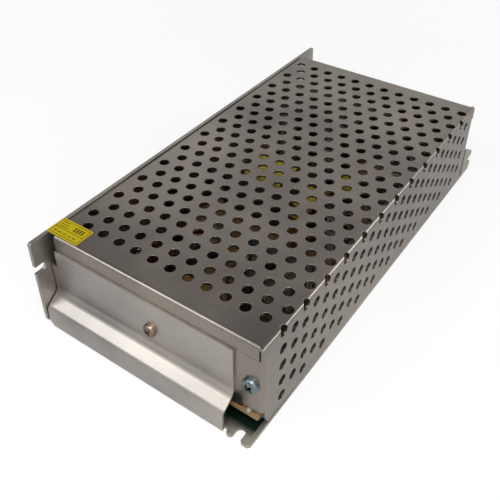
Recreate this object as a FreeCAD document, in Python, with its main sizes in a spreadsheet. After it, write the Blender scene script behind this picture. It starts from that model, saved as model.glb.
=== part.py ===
"""Mesh case switching power supply, with everything that its case holds.

Frame: millimetres, +X to the perforated side, the terminal end faces -Y, +Z up.
The origin lies under the middle of the case, on the surface that it stands on.
"""
import FreeCAD, Part
import math
import os
import re

Vector = FreeCAD.Vector
doc = FreeCAD.newDocument("PowerSupply")

# Every driving size: its name, its value in millimetres or degrees, and what it is.
SIZES = [
    ("case_length", 200.0, "case over its ears"),
    ("case_width", 98.0, "case across"),
    ("case_height", 42.0, "case from the base to the mesh"),
    ("base_sheet", 1.5, "sheet of the base and the left wall"),
    ("base_bend", 2.5, "outer radius of the fold between base and wall"),
    ("cover_sheet", 1.0, "sheet of the perforated cover"),
    ("cover_bend", 1.5, "outer radius of the cover's folds"),
    ("front_ear", 8.0, "ears past the cover's front"),
    ("rear_ear", 12.0, "ears past the cover's rear"),
    ("sheet_gap", 0.1, "clearance between the cover and the wall"),
    ("hole_pitch", 8.0, "between mesh holes in a row"),
    ("hole_bore", 4.2, "diameter of a mesh hole"),
    ("row_margin", 11.7, "cover's front to the first row"),
    ("row_end", 6.0, "cover's rear to the last row, at least"),
    ("column_margin", 6.5, "left face to the first column, at least"),
    ("column_end", 3.1, "right face to the last column"),
    ("punch_rows", 6, "rows of holes in one stroke of the punch"),
    ("punch_slip", 0.2, "shortfall between two strokes of the punch"),
    ("side_lead", 6.05, "top to the first holes in the side"),
    ("lip_drop", 6.2, "height of the lips under the top's ends"),
    ("lip_start", 4.9, "left face to the lips and end walls"),
    ("corner_slit", 0.6, "slit between a lip and the side"),
    ("wall_slit", 0.2, "slit between a lip and the end wall"),
    ("leg_gap", 0.3, "lower edge of the front wall's leg above the indicator lamp"),
    ("leg_inset", 8.5, "right face to the leg's inner edge"),
    ("rear_bottom", 3.0, "lower edge of the rear wall"),
    ("flange_drop", 9.0, "left flange inside the wall"),
    ("flange_inset", 6.0, "left flange's ends from the cover's ends"),
    ("foot_clearance", 0.1, "cover's side above the base"),
    ("corner_cut", 3.5, "bevel at the side's lower front corner"),
    ("slot_width", 3.5, "open mounting slots"),
    ("slot_depth", 4.9, "open slots, from the mouth to the root"),
    ("ear_slot_height", 28.9, "slots in the left wall above the base's underside"),
    ("ear_cut", 3.0, "bevel on the lower corners of the left wall's ears"),
    ("base_slot_inset", 5.55, "right face to the slots in the base"),
    ("finger_width", 2.6, "narrow finger beside a base slot"),
    ("finger_reach", 2.1, "narrow finger past the base's edge"),
    ("finger_bevel", 0.9, "bevel on the outer corner of the wide finger"),
    ("finger_root", 19.0, "right face to the recess under the hood"),
    ("recess_depth", 6.5, "recess in the base under the hood"),
    ("side_ear_height", 17.5, "upright ear at the rear right"),
    ("side_ear_sheet", 1.2, "sheet of the upright ear"),
    ("side_ear_slot", 6.8, "slot in the upright ear above the underside"),
    ("side_ear_fall", 6.5, "fall of the upright ear's top"),
    ("tap_bore", 2.5, "M3 tapping holes in the base"),
    ("tap_spacing_x", 50.0, "tapping holes across"),
    ("tap_spacing_y", 150.0, "tapping holes along"),
    ("hood_sheet", 1.0, "sheet of the hood"),
    ("hood_gap", 0.2, "hood's top under the lip"),
    ("hood_inset", 11.1, "right face to the hood's right end"),
    ("hood_left_gap", 0.4, "hood's left end from the wall"),
    ("hood_shelf_high", 14.0, "hood's inner fold above the underside"),
    ("hood_shelf_low", 9.4, "hood's outer fold above the underside"),
    ("hood_reach", 6.4, "hood's outer fold past its plate"),
    ("hood_bottom", 0.9, "hood's lower edge above the underside"),
    ("hood_flare", 0.4, "outward lean of the hood's lip"),
    ("hood_inner_bend", 4.5, "radius of the hood's inner fold"),
    ("hood_outer_bend", 3.0, "radius of the hood's outer fold"),
    ("hood_notch_width", 3.0, "notch in the hood's upper left corner"),
    ("hood_notch_low", 27.5, "lower edge of that notch"),
    ("hood_corner", 2.5, "bevel on the hood's lower left corner"),
    ("hood_screw_x", 2.0, "hood screw"),
    ("hood_screw_z", 22.5, "hood screw"),
    ("hood_screw_shank", 3.0, "hood screw thread diameter"),
    ("hood_screw_head", 5.4, "hood screw head diameter"),
    ("hood_screw_rise", 2.0, "hood screw head height"),
    ("nut_width", 5.5, "nut across its flats"),
    ("nut_thick", 2.0, "nut behind the front wall"),
    ("end_screw_inset", 4.5, "right face to the end screws"),
    ("end_screw_z", 22.5, "end screws above the underside"),
    ("end_screw_shank", 3.9, "end screw thread diameter"),
    ("end_screw_head", 6.8, "end screw head diameter"),
    ("end_screw_rise", 2.2, "end screw head height"),
    ("end_screw_length", 6.0, "end screw under its head"),
    ("thread_gap", 0.1, "a screw's bore over its shank"),
    ("bracket_sheet", 1.5, "sheet of the end brackets"),
    ("bracket_width", 6.2, "end brackets"),
    ("bracket_height", 20.5, "end brackets above the board"),
    ("bracket_foot", 7.0, "foot of an end bracket"),
    ("bracket_bend", 2.0, "outer radius of an end bracket's fold"),
    ("side_screw_drop", 4.6, "side screws under the top"),
    ("side_screw_shank", 2.9, "side screw thread diameter"),
    ("side_screw_head", 5.2, "side screw countersunk head"),
    ("side_screw_sink", 1.2, "side screw countersink depth"),
    ("side_screw_length", 4.5, "side screw overall"),
    ("side_screw_spacing", 62.0, "between the side screws"),
    ("board_sheet", 1.6, "circuit board thickness"),
    ("board_left", 0.8, "board from the wall's inner face"),
    ("board_right", 0.6, "board from the cover's inner side"),
    ("board_front", 0.6, "board past the cover's front"),
    ("board_rear", 1.0, "board from the rear wall's inner face"),
    ("post_height", 4.4, "board posts"),
    ("post_width", 6.0, "board post diameter"),
    ("board_screw_shank", 2.9, "board screw thread diameter"),
    ("board_screw_head", 4.8, "board screw head diameter"),
    ("board_screw_rise", 1.8, "board screw head height"),
    ("board_screw_bite", 4.0, "board screw in its post"),
    ("post_left", 6.5, "left face to the left board posts"),
    ("post_front", 40.0, "cover's front to the front left post"),
    ("post_middle", 10.0, "case's middle to the middle left post"),
    ("post_back", 13.0, "cover's rear to the rear left post"),
    ("inner_post_right", 18.0, "right face to the inner post"),
    ("inner_post_rear", 62.0, "cover's rear to the inner post"),
    ("term_poles", 9, "terminals"),
    ("term_left", 5.0, "left face to the terminal block"),
    ("term_right", 11.7, "right face to the terminal block"),
    ("term_depth", 11.0, "terminal block front to back"),
    ("term_height", 8.6, "terminal block above the board"),
    ("term_floor", 2.5, "terminal block's floor"),
    ("term_back", 1.6, "terminal block's back wall"),
    ("term_rib", 1.2, "ribs between the terminals"),
    ("term_ear", 3.0, "end ears' length"),
    ("term_ear_height", 5.2, "end ears above the board"),
    ("term_ear_depth", 7.5, "end ears front to back"),
    ("term_setback", 0.1, "terminal block behind the front wall's face"),
    ("term_window", 0.2, "window's clearance about the terminal block"),
    ("term_plate", 0.8, "terminal plate thickness"),
    ("term_plate_inset", 0.4, "terminal plate from the ribs"),
    ("term_screw_head", 5.6, "terminal screw head diameter"),
    ("term_screw_rise", 2.0, "terminal screw head height"),
    ("term_screw_shank", 3.0, "terminal screw thread diameter"),
    ("term_screw_bite", 1.2, "terminal screw below its plate"),
    ("lamp_bore", 2.0, "indicator lamp diameter"),
    ("lamp_right", 5.4, "right face to the indicator lamp"),
    ("lamp_length", 2.2, "indicator lamp"),
    ("lamp_reach", 1.3, "indicator lamp past the cover's front"),
    ("adjuster_width", 6.2, "voltage adjuster's body"),
    ("adjuster_height", 6.5, "voltage adjuster's body"),
    ("adjuster_rotor", 3.9, "voltage adjuster's rotor diameter"),
    ("adjuster_rise", 1.4, "voltage adjuster's rotor height"),
    ("adjuster_sunk", 1.0, "rotor's depth in the body"),
    ("adjuster_fit", 0.06, "radial running clearance of the rotor"),
    ("adjuster_kerf", 0.7, "rotor's screwdriver slot"),
    ("adjuster_kerf_depth", 0.6, "rotor's screwdriver slot"),
    ("fuse_left", 7.8, "left face to the fuse"),
    ("fuse_front", 24.0, "cover's front to the fuse"),
    ("fuse_bore", 4.9, "fuse tube diameter"),
    ("fuse_length", 20.0, "fuse over its caps"),
    ("fuse_cap", 5.2, "fuse cap diameter"),
    ("fuse_cap_length", 5.0, "fuse cap"),
    ("fuse_rise", 4.0, "fuse axis above the board"),
    ("clip_sheet", 0.4, "fuse clip sheet"),
    ("clip_gap", 0.05, "fuse cap to clip"),
    ("inrush_left", 22.0, "left face to the inrush thermistor"),
    ("inrush_front", 17.5, "cover's front to the inrush thermistor"),
    ("inrush_disc", 12.0, "inrush thermistor disc"),
    ("inrush_thick", 4.5, "inrush thermistor"),
    ("lead_bore", 0.8, "component leads"),
    ("lead_rise", 2.5, "leads under a raised component"),
    ("lead_bite", 2.0, "leads inside a component"),
    ("inrush_step", 7.5, "between the thermistor's leads"),
    ("bridge_step", 5.0, "between the bridge rectifier's leads"),
    ("disc_step", 5.0, "between a disc capacitor's leads"),
    ("choke_left", 24.5, "left face to the filter choke"),
    ("choke_front", 44.0, "cover's front to the filter choke"),
    ("choke_outer", 22.0, "filter choke ring"),
    ("choke_inner", 12.0, "filter choke ring"),
    ("choke_tall", 10.0, "filter choke ring"),
    ("choke_wire", 1.3, "filter choke winding's build"),
    ("choke_base", 1.6, "filter choke's base"),
    ("box_cap_right", 46.0, "right face to the filter capacitor"),
    ("box_cap_front", 23.5, "cover's front to the filter capacitor"),
    ("box_cap_length", 18.0, "filter capacitor"),
    ("box_cap_width", 8.5, "filter capacitor"),
    ("box_cap_height", 15.0, "filter capacitor"),
    ("bridge_left", 8.6, "left face to the bridge rectifier"),
    ("bridge_middle", -18.0, "case's middle to the bridge rectifier"),
    ("bridge_length", 22.0, "bridge rectifier"),
    ("bridge_thick", 6.0, "bridge rectifier"),
    ("bridge_height", 18.0, "bridge rectifier"),
    ("bulk_cap_bore", 20.0, "input capacitor diameter"),
    ("bulk_cap_gap", 2.5, "input capacitors under the cover"),
    ("bulk_cap_left", 25.0, "left face to the first input capacitor"),
    ("bulk_cap_rear", 41.0, "cover's rear to the input capacitors"),
    ("bulk_cap_step", 22.5, "between the input capacitors"),
    ("main_right", 58.0, "right face to the main transformer"),
    ("main_middle", 0.5, "case's middle to the main transformer"),
    ("main_long", 33.0, "main transformer's core"),
    ("main_wide", 28.0, "main transformer's core"),
    ("main_tall", 12.7, "main transformer's core"),
    ("main_winding", 22.6, "main transformer's winding height"),
    ("main_leg", 6.0, "main transformer's outer legs"),
    ("main_pins", 2.6, "main transformer's bobbin rail"),
    ("drive_right", 33.0, "right face to the drive transformer"),
    ("drive_rear", 60.0, "cover's rear to the drive transformer"),
    ("drive_long", 16.0, "drive transformer's core"),
    ("drive_wide", 14.0, "drive transformer's core"),
    ("drive_tall", 5.0, "drive transformer's core"),
    ("drive_winding", 10.0, "drive transformer's winding height"),
    ("drive_leg", 2.6, "drive transformer's outer legs"),
    ("drive_pins", 1.6, "drive transformer's bobbin rail"),
    ("bobbin_wall", 0.9, "bobbin flanges"),
    ("bobbin_gap", 0.15, "bobbin, winding and core clearance"),
    ("sink_left", 4.5, "left face to the primary heatsink"),
    ("sink_right", 25.5, "right face to the primary heatsink"),
    ("sink_rear", 24.0, "cover's rear to the primary heatsink's upright face"),
    ("sink_gap", 3.0, "primary heatsink under the cover"),
    ("sink_split", 8.0, "height of the primary heatsink's lower half"),
    ("sink_sheet", 3.0, "heatsink sheet"),
    ("sink_flange", 6.5, "primary heatsink's top flange"),
    ("sink_foot", 7.0, "primary heatsink's foot"),
    ("sink_bend", 3.6, "outer radius of a heatsink's fold"),
    ("side_sink_right", 9.0, "right face to the secondary heatsink's inner face"),
    ("side_sink_middle", 6.0, "case's middle to the secondary heatsink's"),
    ("side_sink_length", 76.0, "secondary heatsink"),
    ("side_sink_height", 21.0, "secondary heatsink above the board"),
    ("chip_wide", 10.4, "transistor and rectifier packages"),
    ("chip_tall", 15.6, "transistor and rectifier packages"),
    ("chip_thick", 4.6, "transistor and rectifier packages"),
    ("chip_step", 26.0, "between two packages"),
    ("chip_rise", 4.0, "packages above the board"),
    ("chip_screw_head", 5.0, "package screw head diameter"),
    ("chip_screw_rise", 1.8, "package screw head height"),
    ("chip_screw_shank", 2.7, "package screw thread diameter"),
    ("chip_bore_drop", 3.0, "packages' top to their screws"),
    ("chip_leg", 0.8, "package legs' width"),
    ("chip_leg_step", 2.54, "between package legs"),
    ("transistor_left", 21.0, "left face to the first power transistor"),
    ("rectifier_middle", -12.0, "case's middle to the first output rectifier"),
    ("coil_right", 34.4, "right face to the output inductor"),
    ("coil_middle", -6.0, "case's middle to the output inductor"),
    ("coil_outer", 25.0, "output inductor ring"),
    ("coil_inner", 14.0, "output inductor ring"),
    ("coil_thick", 7.6, "output inductor ring"),
    ("coil_wire", 1.1, "output inductor winding's build"),
    ("coil_gap", 0.3, "output inductor above the board"),
    ("out_cap_bore", 12.5, "output capacitor diameter"),
    ("out_cap_height", 25.0, "output capacitor"),
    ("out_cap_right", 30.5, "right face to the first output capacitor"),
    ("out_cap_front", 32.0, "cover's front to the first output capacitor"),
    ("out_cap_step", 14.5, "between the output capacitors"),
    ("blue_cap_bore", 10.0, "blue capacitor diameter"),
    ("blue_cap_height", 22.0, "blue capacitor"),
    ("blue_cap_right", 22.4, "right face to the blue capacitor"),
    ("blue_cap_middle", -4.0, "case's middle to the blue capacitor"),
    ("small_cap_bore", 6.3, "small capacitor diameter"),
    ("small_cap_height", 11.0, "small capacitor"),
    ("disc_bore", 9.0, "disc capacitor diameter"),
    ("disc_thick", 3.5, "disc capacitor"),
    ("ic_length", 19.2, "control chip"),
    ("ic_width", 6.4, "control chip"),
    ("ic_height", 3.6, "control chip"),
    ("ic_right", 20.0, "right face to the control chip"),
    ("ic_rear", 38.0, "cover's rear to the control chip"),
    ("ic_rise", 0.5, "control chip above the board"),
    ("can_a_right", 46.0, "right face to this small capacitor"),
    ("can_a_rear", 58.0, "cover's rear to this small capacitor"),
    ("can_b_right", 19.0, "right face to this small capacitor"),
    ("can_b_rear", 18.0, "cover's rear to this small capacitor"),
    ("can_c_right", 37.0, "right face to this small capacitor"),
    ("can_c_rear", 10.0, "cover's rear to this small capacitor"),
    ("can_d_right", 25.0, "right face to this small capacitor"),
    ("can_d_rear", 48.0, "cover's rear to this small capacitor"),
    ("can_e_right", 63.0, "right face to this small capacitor"),
    ("can_e_front", 64.0, "cover's front to this small capacitor"),
    ("disc_a_left", 41.0, "left face to this disc capacitor"),
    ("disc_a_front", 52.0, "cover's front to this disc capacitor"),
    ("disc_b_right", 45.0, "right face to this disc capacitor"),
    ("disc_b_front", 62.0, "cover's front to this disc capacitor"),
    ("disc_c_right", 11.0, "right face to this disc capacitor"),
    ("disc_c_rear", 26.0, "cover's rear to this disc capacitor"),
    ("resistor_a_right", 21.0, "right face to this resistor"),
    ("resistor_a_rear", 28.0, "cover's rear to this resistor"),
    ("resistor_b_left", 39.0, "left face to this resistor"),
    ("resistor_b_rear", 9.0, "cover's rear to this resistor"),
    ("resistor_c_right", 19.0, "right face to this resistor"),
    ("resistor_c_rear", 52.0, "cover's rear to this resistor"),
    ("resistor_d_left", 15.0, "left face to this resistor"),
    ("resistor_d_middle", 22.0, "case's middle to this resistor"),
    ("resistor_e_left", 37.0, "left face to this resistor"),
    ("resistor_e_front", 15.0, "cover's front to this resistor"),
    ("resistor_f_right", 29.0, "right face to this resistor"),
    ("resistor_f_front", 56.0, "cover's front to this resistor"),
    ("resistor_bore", 2.4, "resistor body diameter"),
    ("resistor_length", 6.5, "resistor body"),
    ("resistor_span", 10.5, "resistor over its leads"),
    ("resistor_wire", 0.6, "resistor leads"),
    ("label_length", 15.5, "sealing label across the case"),
    ("label_width", 10.2, "sealing label along the case"),
    ("label_thick", 0.12, "sealing label"),
    ("label_inset", 0.1, "sealing label from the left face"),
]

# The side and the end of the case that each component keeps its distances from.
PLACED = {
    "inner_post": ("right", "rear"), "fuse": ("left", "front"), "inrush": ("left", "front"),
    "choke": ("left", "front"), "box_cap": ("right", "front"), "bridge": ("left", "middle"),
    "bulk_cap": ("left", "rear"), "main": ("right", "middle"), "drive": ("right", "rear"),
    "sink": ("left", "rear"), "side_sink": ("right", "middle"), "transistor": ("left", None),
    "rectifier": (None, "middle"), "coil": ("right", "middle"), "out_cap": ("right", "front"),
    "blue_cap": ("right", "middle"), "ic": ("right", "rear"), "lamp": ("right", None),
    "can_a": ("right", "rear"), "can_b": ("right", "rear"), "can_c": ("right", "rear"),
    "can_d": ("right", "rear"), "can_e": ("right", "front"), "disc_a": ("left", "front"),
    "disc_b": ("right", "front"), "disc_c": ("right", "rear"), "resistor_a": ("right", "rear"),
    "resistor_b": ("left", "rear"), "resistor_c": ("right", "rear"), "resistor_d": ("left", "middle"),
    "resistor_e": ("left", "front"), "resistor_f": ("right", "front"),
}
EDGES = {
    "left": "-case_width / 2 + %s", "right": "case_width / 2 - %s", "middle": "%s",
    "front": "-case_length / 2 + front_ear + %s", "rear": "case_length / 2 - rear_ear - %s",
}

sheet = doc.addObject("Spreadsheet::Sheet", "Sizes")
CELLS = [(alias, repr(amount), note) for alias, amount, note in SIZES]
for name, edges in PLACED.items():
    for axis, edge in zip("xy", edges):
        if edge:
            CELLS.append((name + "_" + axis, "=" + EDGES[edge] % (name + "_" + edge), "in the frame"))
for row, (alias, content, note) in enumerate(CELLS, start=1):
    sheet.set("A%d" % row, note)
    sheet.set("B%d" % row, content)
    sheet.setAlias("B%d" % row, alias)
doc.recompute()

NAMES = {alias for alias, content, note in CELLS}
NODES = []


# Sizes and features.


def sized(text):
    """An expression in which each size is read from the sheet."""
    return re.sub(r"[a-z][a-z0-9_]*",
                  lambda word: "Sizes." + word.group(0) if word.group(0) in NAMES else word.group(0),
                  str(text))


def mm(text):
    """The present value of such an expression."""
    return float(sheet.evalExpression(sized(text)))


def bind(feature, prop, text):
    feature.setExpression(prop, sized(text))


def place(feature, at):
    for axis, text in zip("xyz", at):
        bind(feature, "Placement.Base." + axis, text)


def box(name, lengths, at):
    """A block with one corner at the place given."""
    feature = doc.addObject("Part::Box", name)
    for prop, text in zip(("Length", "Width", "Height"), lengths):
        bind(feature, prop, text)
    place(feature, at)
    return feature


TURNS = {
    "+Z": FreeCAD.Rotation(),
    "-Z": FreeCAD.Rotation(Vector(1, 0, 0), 180),
    "+X": FreeCAD.Rotation(Vector(0, 1, 0), 90),
    "-X": FreeCAD.Rotation(Vector(0, 1, 0), -90),
    "+Y": FreeCAD.Rotation(Vector(1, 0, 0), -90),
    "-Y": FreeCAD.Rotation(Vector(1, 0, 0), 90),
}


def rod(name, bore, length, at, way="+Z"):
    """A cylinder of a given diameter, running one way from the centre of its first face."""
    feature = doc.addObject("Part::Cylinder", name)
    bind(feature, "Radius", "(%s) / 2" % bore)
    bind(feature, "Height", length)
    feature.Placement.Rotation = TURNS[way]
    place(feature, at)
    return feature


def cone(name, bore_low, bore_high, length, at, way="+Z"):
    feature = doc.addObject("Part::Cone", name)
    bind(feature, "Radius1", "(%s) / 2" % bore_low)
    bind(feature, "Radius2", "(%s) / 2" % bore_high)
    bind(feature, "Height", length)
    feature.Placement.Rotation = TURNS[way]
    place(feature, at)
    return feature


def fused(name, pieces):
    if len(pieces) == 1:
        return pieces[0]
    feature = doc.addObject("Part::MultiFuse", name)
    feature.Shapes = pieces
    feature.Refine = True
    return feature


def cut(name, body, tools):
    feature = doc.addObject("Part::Cut", name)
    feature.Base = body
    feature.Tool = fused(name + "Tools", tools)
    return feature


def group(name, pieces):
    """Separate solids of one kind."""
    feature = doc.addObject("Part::Compound", name)
    feature.Links = pieces
    return feature


def formed(name, shape):
    """A sub-part whose form comes from the functions below."""
    feature = doc.addObject("Part::Feature", name)
    feature.Shape = shape
    return feature


def node(label, feature):
    """Marks a finished sub-part and gives it the name of its file."""
    feature.Label = label
    NODES.append(feature)
    return feature


# Outlines and folded sheet.


def spatial(plane, u, v, w=0.0):
    """A point of a flat outline: u and v lie along the plane's two axes, w across it."""
    at = dict(zip(plane, (u, v)))
    across = ({"x", "y", "z"} - set(plane)).pop()
    at[across] = w
    return Vector(at["x"], at["y"], at["z"])


def across(plane, length):
    """The vector that a flat outline in this plane is pulled along."""
    return spatial(plane, 0, 0, length)


def corner_arc(before, corner, after, radius):
    """Start, middle and end of the round at a corner, and its centre."""
    to_before = (before - corner).normalize()
    to_after = (after - corner).normalize()
    half = to_before.getAngle(to_after) / 2
    reach = radius / math.tan(half)
    bisector = (to_before + to_after).normalize()
    centre = corner + bisector * (radius / math.sin(half))
    return corner + to_before * reach, centre - bisector * radius, corner + to_after * reach, centre


def straight(a, b):
    """The edge between two points, or none where they meet."""
    return [Part.LineSegment(a, b).toShape()] if (b - a).Length > 1e-6 else []


def outline(points):
    """A closed flat wire through corners (u, v, radius), as a list of edges in the XY plane."""
    count = len(points)
    rounds = []
    for i, (u, v, radius) in enumerate(points):
        here = Vector(u, v, 0)
        before = Vector(points[i - 1][0], points[i - 1][1], 0)
        after = Vector(points[(i + 1) % count][0], points[(i + 1) % count][1], 0)
        rounds.append(corner_arc(before, here, after, radius) if radius > 0 else (here, None, here, None))
    edges = []
    for i, (start, middle, end, centre) in enumerate(rounds):
        if middle is not None:
            edges.append(Part.Arc(start, middle, end).toShape())
        edges += straight(end, rounds[(i + 1) % count][0])
    return Part.Wire(edges)


def stand(flat, plane, start):
    """Turns a flat shape from the XY plane into the plane named, at a distance across it."""
    u = spatial(plane, 1, 0)
    v = spatial(plane, 0, 1)
    w = u.cross(v)
    matrix = FreeCAD.Matrix(u.x, v.x, w.x, 0, u.y, v.y, w.y, 0, u.z, v.z, w.z, 0, 0, 0, 0, 1)
    shape = flat.copy()
    shape.Placement = FreeCAD.Placement(matrix)
    shape.translate(across(plane, start))
    return shape


def slab(points, plane, start, end, holes=()):
    """A plate with a rounded outline, between two places across its plane."""
    face = Part.Face([outline(points)] + [outline(hole) for hole in holes])
    return stand(face, plane, start).extrude(across(plane, end - start))


def fold(path, radii, thickness, plane, start, end):
    """Sheet folded along a path in the plane named. The path is the outer face, the sheet lies to
    its right, and each radius is that of the outer face: an outward fold is given below zero."""
    points = [Vector(u, v, 0) for u, v in path]
    right = [Vector(b.y - a.y, a.x - b.x, 0).normalize() for a, b in zip(points, points[1:])]
    outer, inner = [], []
    at, opposite = points[0], points[0] + right[0] * thickness
    first = (at, opposite)
    for i, radius in enumerate(radii, start=1):
        begin, middle, finish, centre = corner_arc(points[i - 1], points[i], points[i + 1], abs(radius))
        other = abs(radius) - thickness if radius > 0 else abs(radius) + thickness
        outer += straight(at, begin)
        outer.append(Part.Arc(begin, middle, finish).toShape())
        near, far = begin + right[i - 1] * thickness, finish + right[i] * thickness
        inner += straight(opposite, near)
        bow = centre + (middle - centre).normalize() * other
        inner.append(Part.Arc(near, bow, far).toShape())
        at, opposite = finish, far
    last = (points[-1], points[-1] + right[-1] * thickness)
    outer += straight(at, last[0])
    inner += straight(opposite, last[1])
    ends = straight(*first) + straight(*last)
    face = Part.Face(Part.Wire(Part.__sortEdges__(outer + inner + ends)))
    return stand(face, plane, start).extrude(across(plane, end - start))


def drill(bore, start, end):
    """A round tool between two points."""
    way = end - start
    return Part.makeCylinder(bore / 2, way.Length, start, way)


def block(low, high):
    """A rectangular tool between two corners."""
    return Part.makeBox(high[0] - low[0], high[1] - low[1], high[2] - low[2], Vector(*low))


# Planes that several sub-parts share.

LEFT = "(-case_width / 2)"
RIGHT = "(case_width / 2)"
FRONT = "(-case_length / 2 + front_ear)"
REAR = "(case_length / 2 - rear_ear)"
BOARD = "(base_sheet + post_height + board_sheet)"
TERM_LENGTH = "(case_width - term_left - term_right)"
LEG_BOTTOM = "(%s + lamp_bore + leg_gap)" % BOARD
UNDER_COVER = "(case_height - cover_sheet)"

left, right, front, rear = mm(LEFT), mm(RIGHT), mm(FRONT), mm(REAR)
nose, tail = -mm("case_length") / 2, mm("case_length") / 2
top, board_top = mm("case_height"), mm(BOARD)
plate, skin = mm("base_sheet"), mm("cover_sheet")


# Chassis: base and left wall.


def make_chassis():
    """Base plate with slotted fingers, left wall with slotted ears, and the upright rear ear."""
    bend = mm("base_bend")
    slot, depth = mm("slot_width") / 2, mm("slot_depth")
    centre = right - mm("base_slot_inset")
    finger = centre - slot - mm("finger_width")
    edge = nose + mm("finger_reach")
    recess = right - mm("finger_root")
    back = rear + 2.0
    bevel = mm("finger_bevel")
    tip = 0.45 * mm("finger_width")
    base = slab([
        (left + bend, nose + mm("recess_depth"), 0), (recess, nose + mm("recess_depth"), 0.8),
        (recess, edge, 0.6), (finger, edge, 0.6), (finger, nose, tip),
        (centre - slot, nose, tip), (centre - slot, nose + depth, slot),
        (centre + slot, nose + depth, slot), (centre + slot, nose, 1.0),
        (right - bevel, nose, 0.6), (right, nose + bevel, 0.6),
        (right, tail, 0.8), (centre + slot, tail, 1.0), (centre + slot, tail - depth, slot),
        (centre - slot, tail - depth, slot), (centre - slot, tail, tip), (finger, tail, tip),
        (finger, back, 0.6), (left + bend, back, 0)],
        "xy", 0.0, plate)
    height = mm("ear_slot_height")
    wall = slab([
        (nose, bend, 0), (nose, height - slot, 0), (nose + depth, height - slot, slot),
        (nose + depth, height + slot, slot), (nose, height + slot, 0), (nose, top, 0.8),
        (tail, top, 0.8), (tail, height + slot, 0), (tail - depth, height + slot, slot),
        (tail - depth, height - slot, slot), (tail, height - slot, 0), (tail, bend, 0)],
        "yz", left, left + plate)
    ring = Part.makeCylinder(bend, tail - nose, Vector(left + bend, nose, bend), Vector(0, 1, 0))
    ring = ring.cut(Part.makeCylinder(bend - plate, tail - nose, Vector(left + bend, nose, bend), Vector(0, 1, 0)))
    ring = ring.common(block((left, nose, 0), (left + bend, tail, bend)))
    ear_sheet, ear_top = mm("side_ear_sheet"), mm("side_ear_height")
    ear_front = rear + 1.0
    low = mm("side_ear_slot")
    ear = slab([
        (ear_front, plate, 0), (ear_front, ear_top, 0.6), (tail, ear_top - mm("side_ear_fall"), 1.6),
        (tail, low + slot, 0.6), (tail - depth, low + slot, slot), (tail - depth, low - slot, slot),
        (tail, low - slot, 0.6), (tail, plate, 0)],
        "yz", right - ear_sheet, right)
    shape = base.fuse([wall, ring, ear]).removeSplitter()
    tools = []
    for end, way in ((nose, 1), (tail, -1)):
        cut_back = mm("ear_cut")
        tools.append(slab([(end - way, -1, 0), (end + way * (cut_back + 1), -1, 0), (end - way, cut_back + 1, 0)],
                          "yz", left - 1, left + bend))
    for x in (-1, 1):
        for y in (-1, 1):
            at = Vector(x * mm("tap_spacing_x") / 2, y * mm("tap_spacing_y") / 2, -1)
            tools.append(drill(mm("tap_bore"), at, at + Vector(0, 0, plate + 2)))
    for y in side_screw_places():
        z = top - mm("side_screw_drop")
        sink, head = mm("side_screw_sink"), mm("side_screw_head") / 2
        bore = (mm("side_screw_shank") + mm("thread_gap")) / 2
        tools.append(Part.makeCone(head, bore, sink, Vector(left, y, z), Vector(1, 0, 0)))
        tools.append(Part.makeCylinder(bore, plate, Vector(left, y, z), Vector(1, 0, 0)))
    return shape.cut(tools)


def side_screw_places():
    return [-mm("side_screw_spacing"), 0.0, mm("side_screw_spacing")]


# Perforated cover.


def mesh_tools():
    """One round tool for each hole: straight down through the top, straight in through the side,
    and at the top of the side where a hole lies on the fold."""
    pitch, bore = mm("hole_pitch"), mm("hole_bore")
    step = pitch * math.sqrt(3) / 2
    fold_at = top - mm("side_lead") + pitch / 2
    tools = []
    y, count = front + mm("row_margin"), 0
    while y < rear - mm("row_end"):
        odd = count % 2
        spot = right - mm("column_end") - (0 if odd else pitch / 2)
        while spot > left + mm("column_margin") - 0.01:
            tools.append(drill(bore, Vector(spot, y, top - 2 * skin), Vector(spot, y, top + 1)))
            spot -= pitch
        z = fold_at - (pitch / 2 if odd else 0)
        while z - bore / 2 > mm("cover_bend") + plate + 1.5:
            tools.append(drill(bore, Vector(right - 1.4 * skin, y, z), Vector(right + 1, y, z)))
            z -= pitch
        count += 1
        y += step - (0 if count % int(mm("punch_rows")) else mm("punch_slip"))
    return tools


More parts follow.
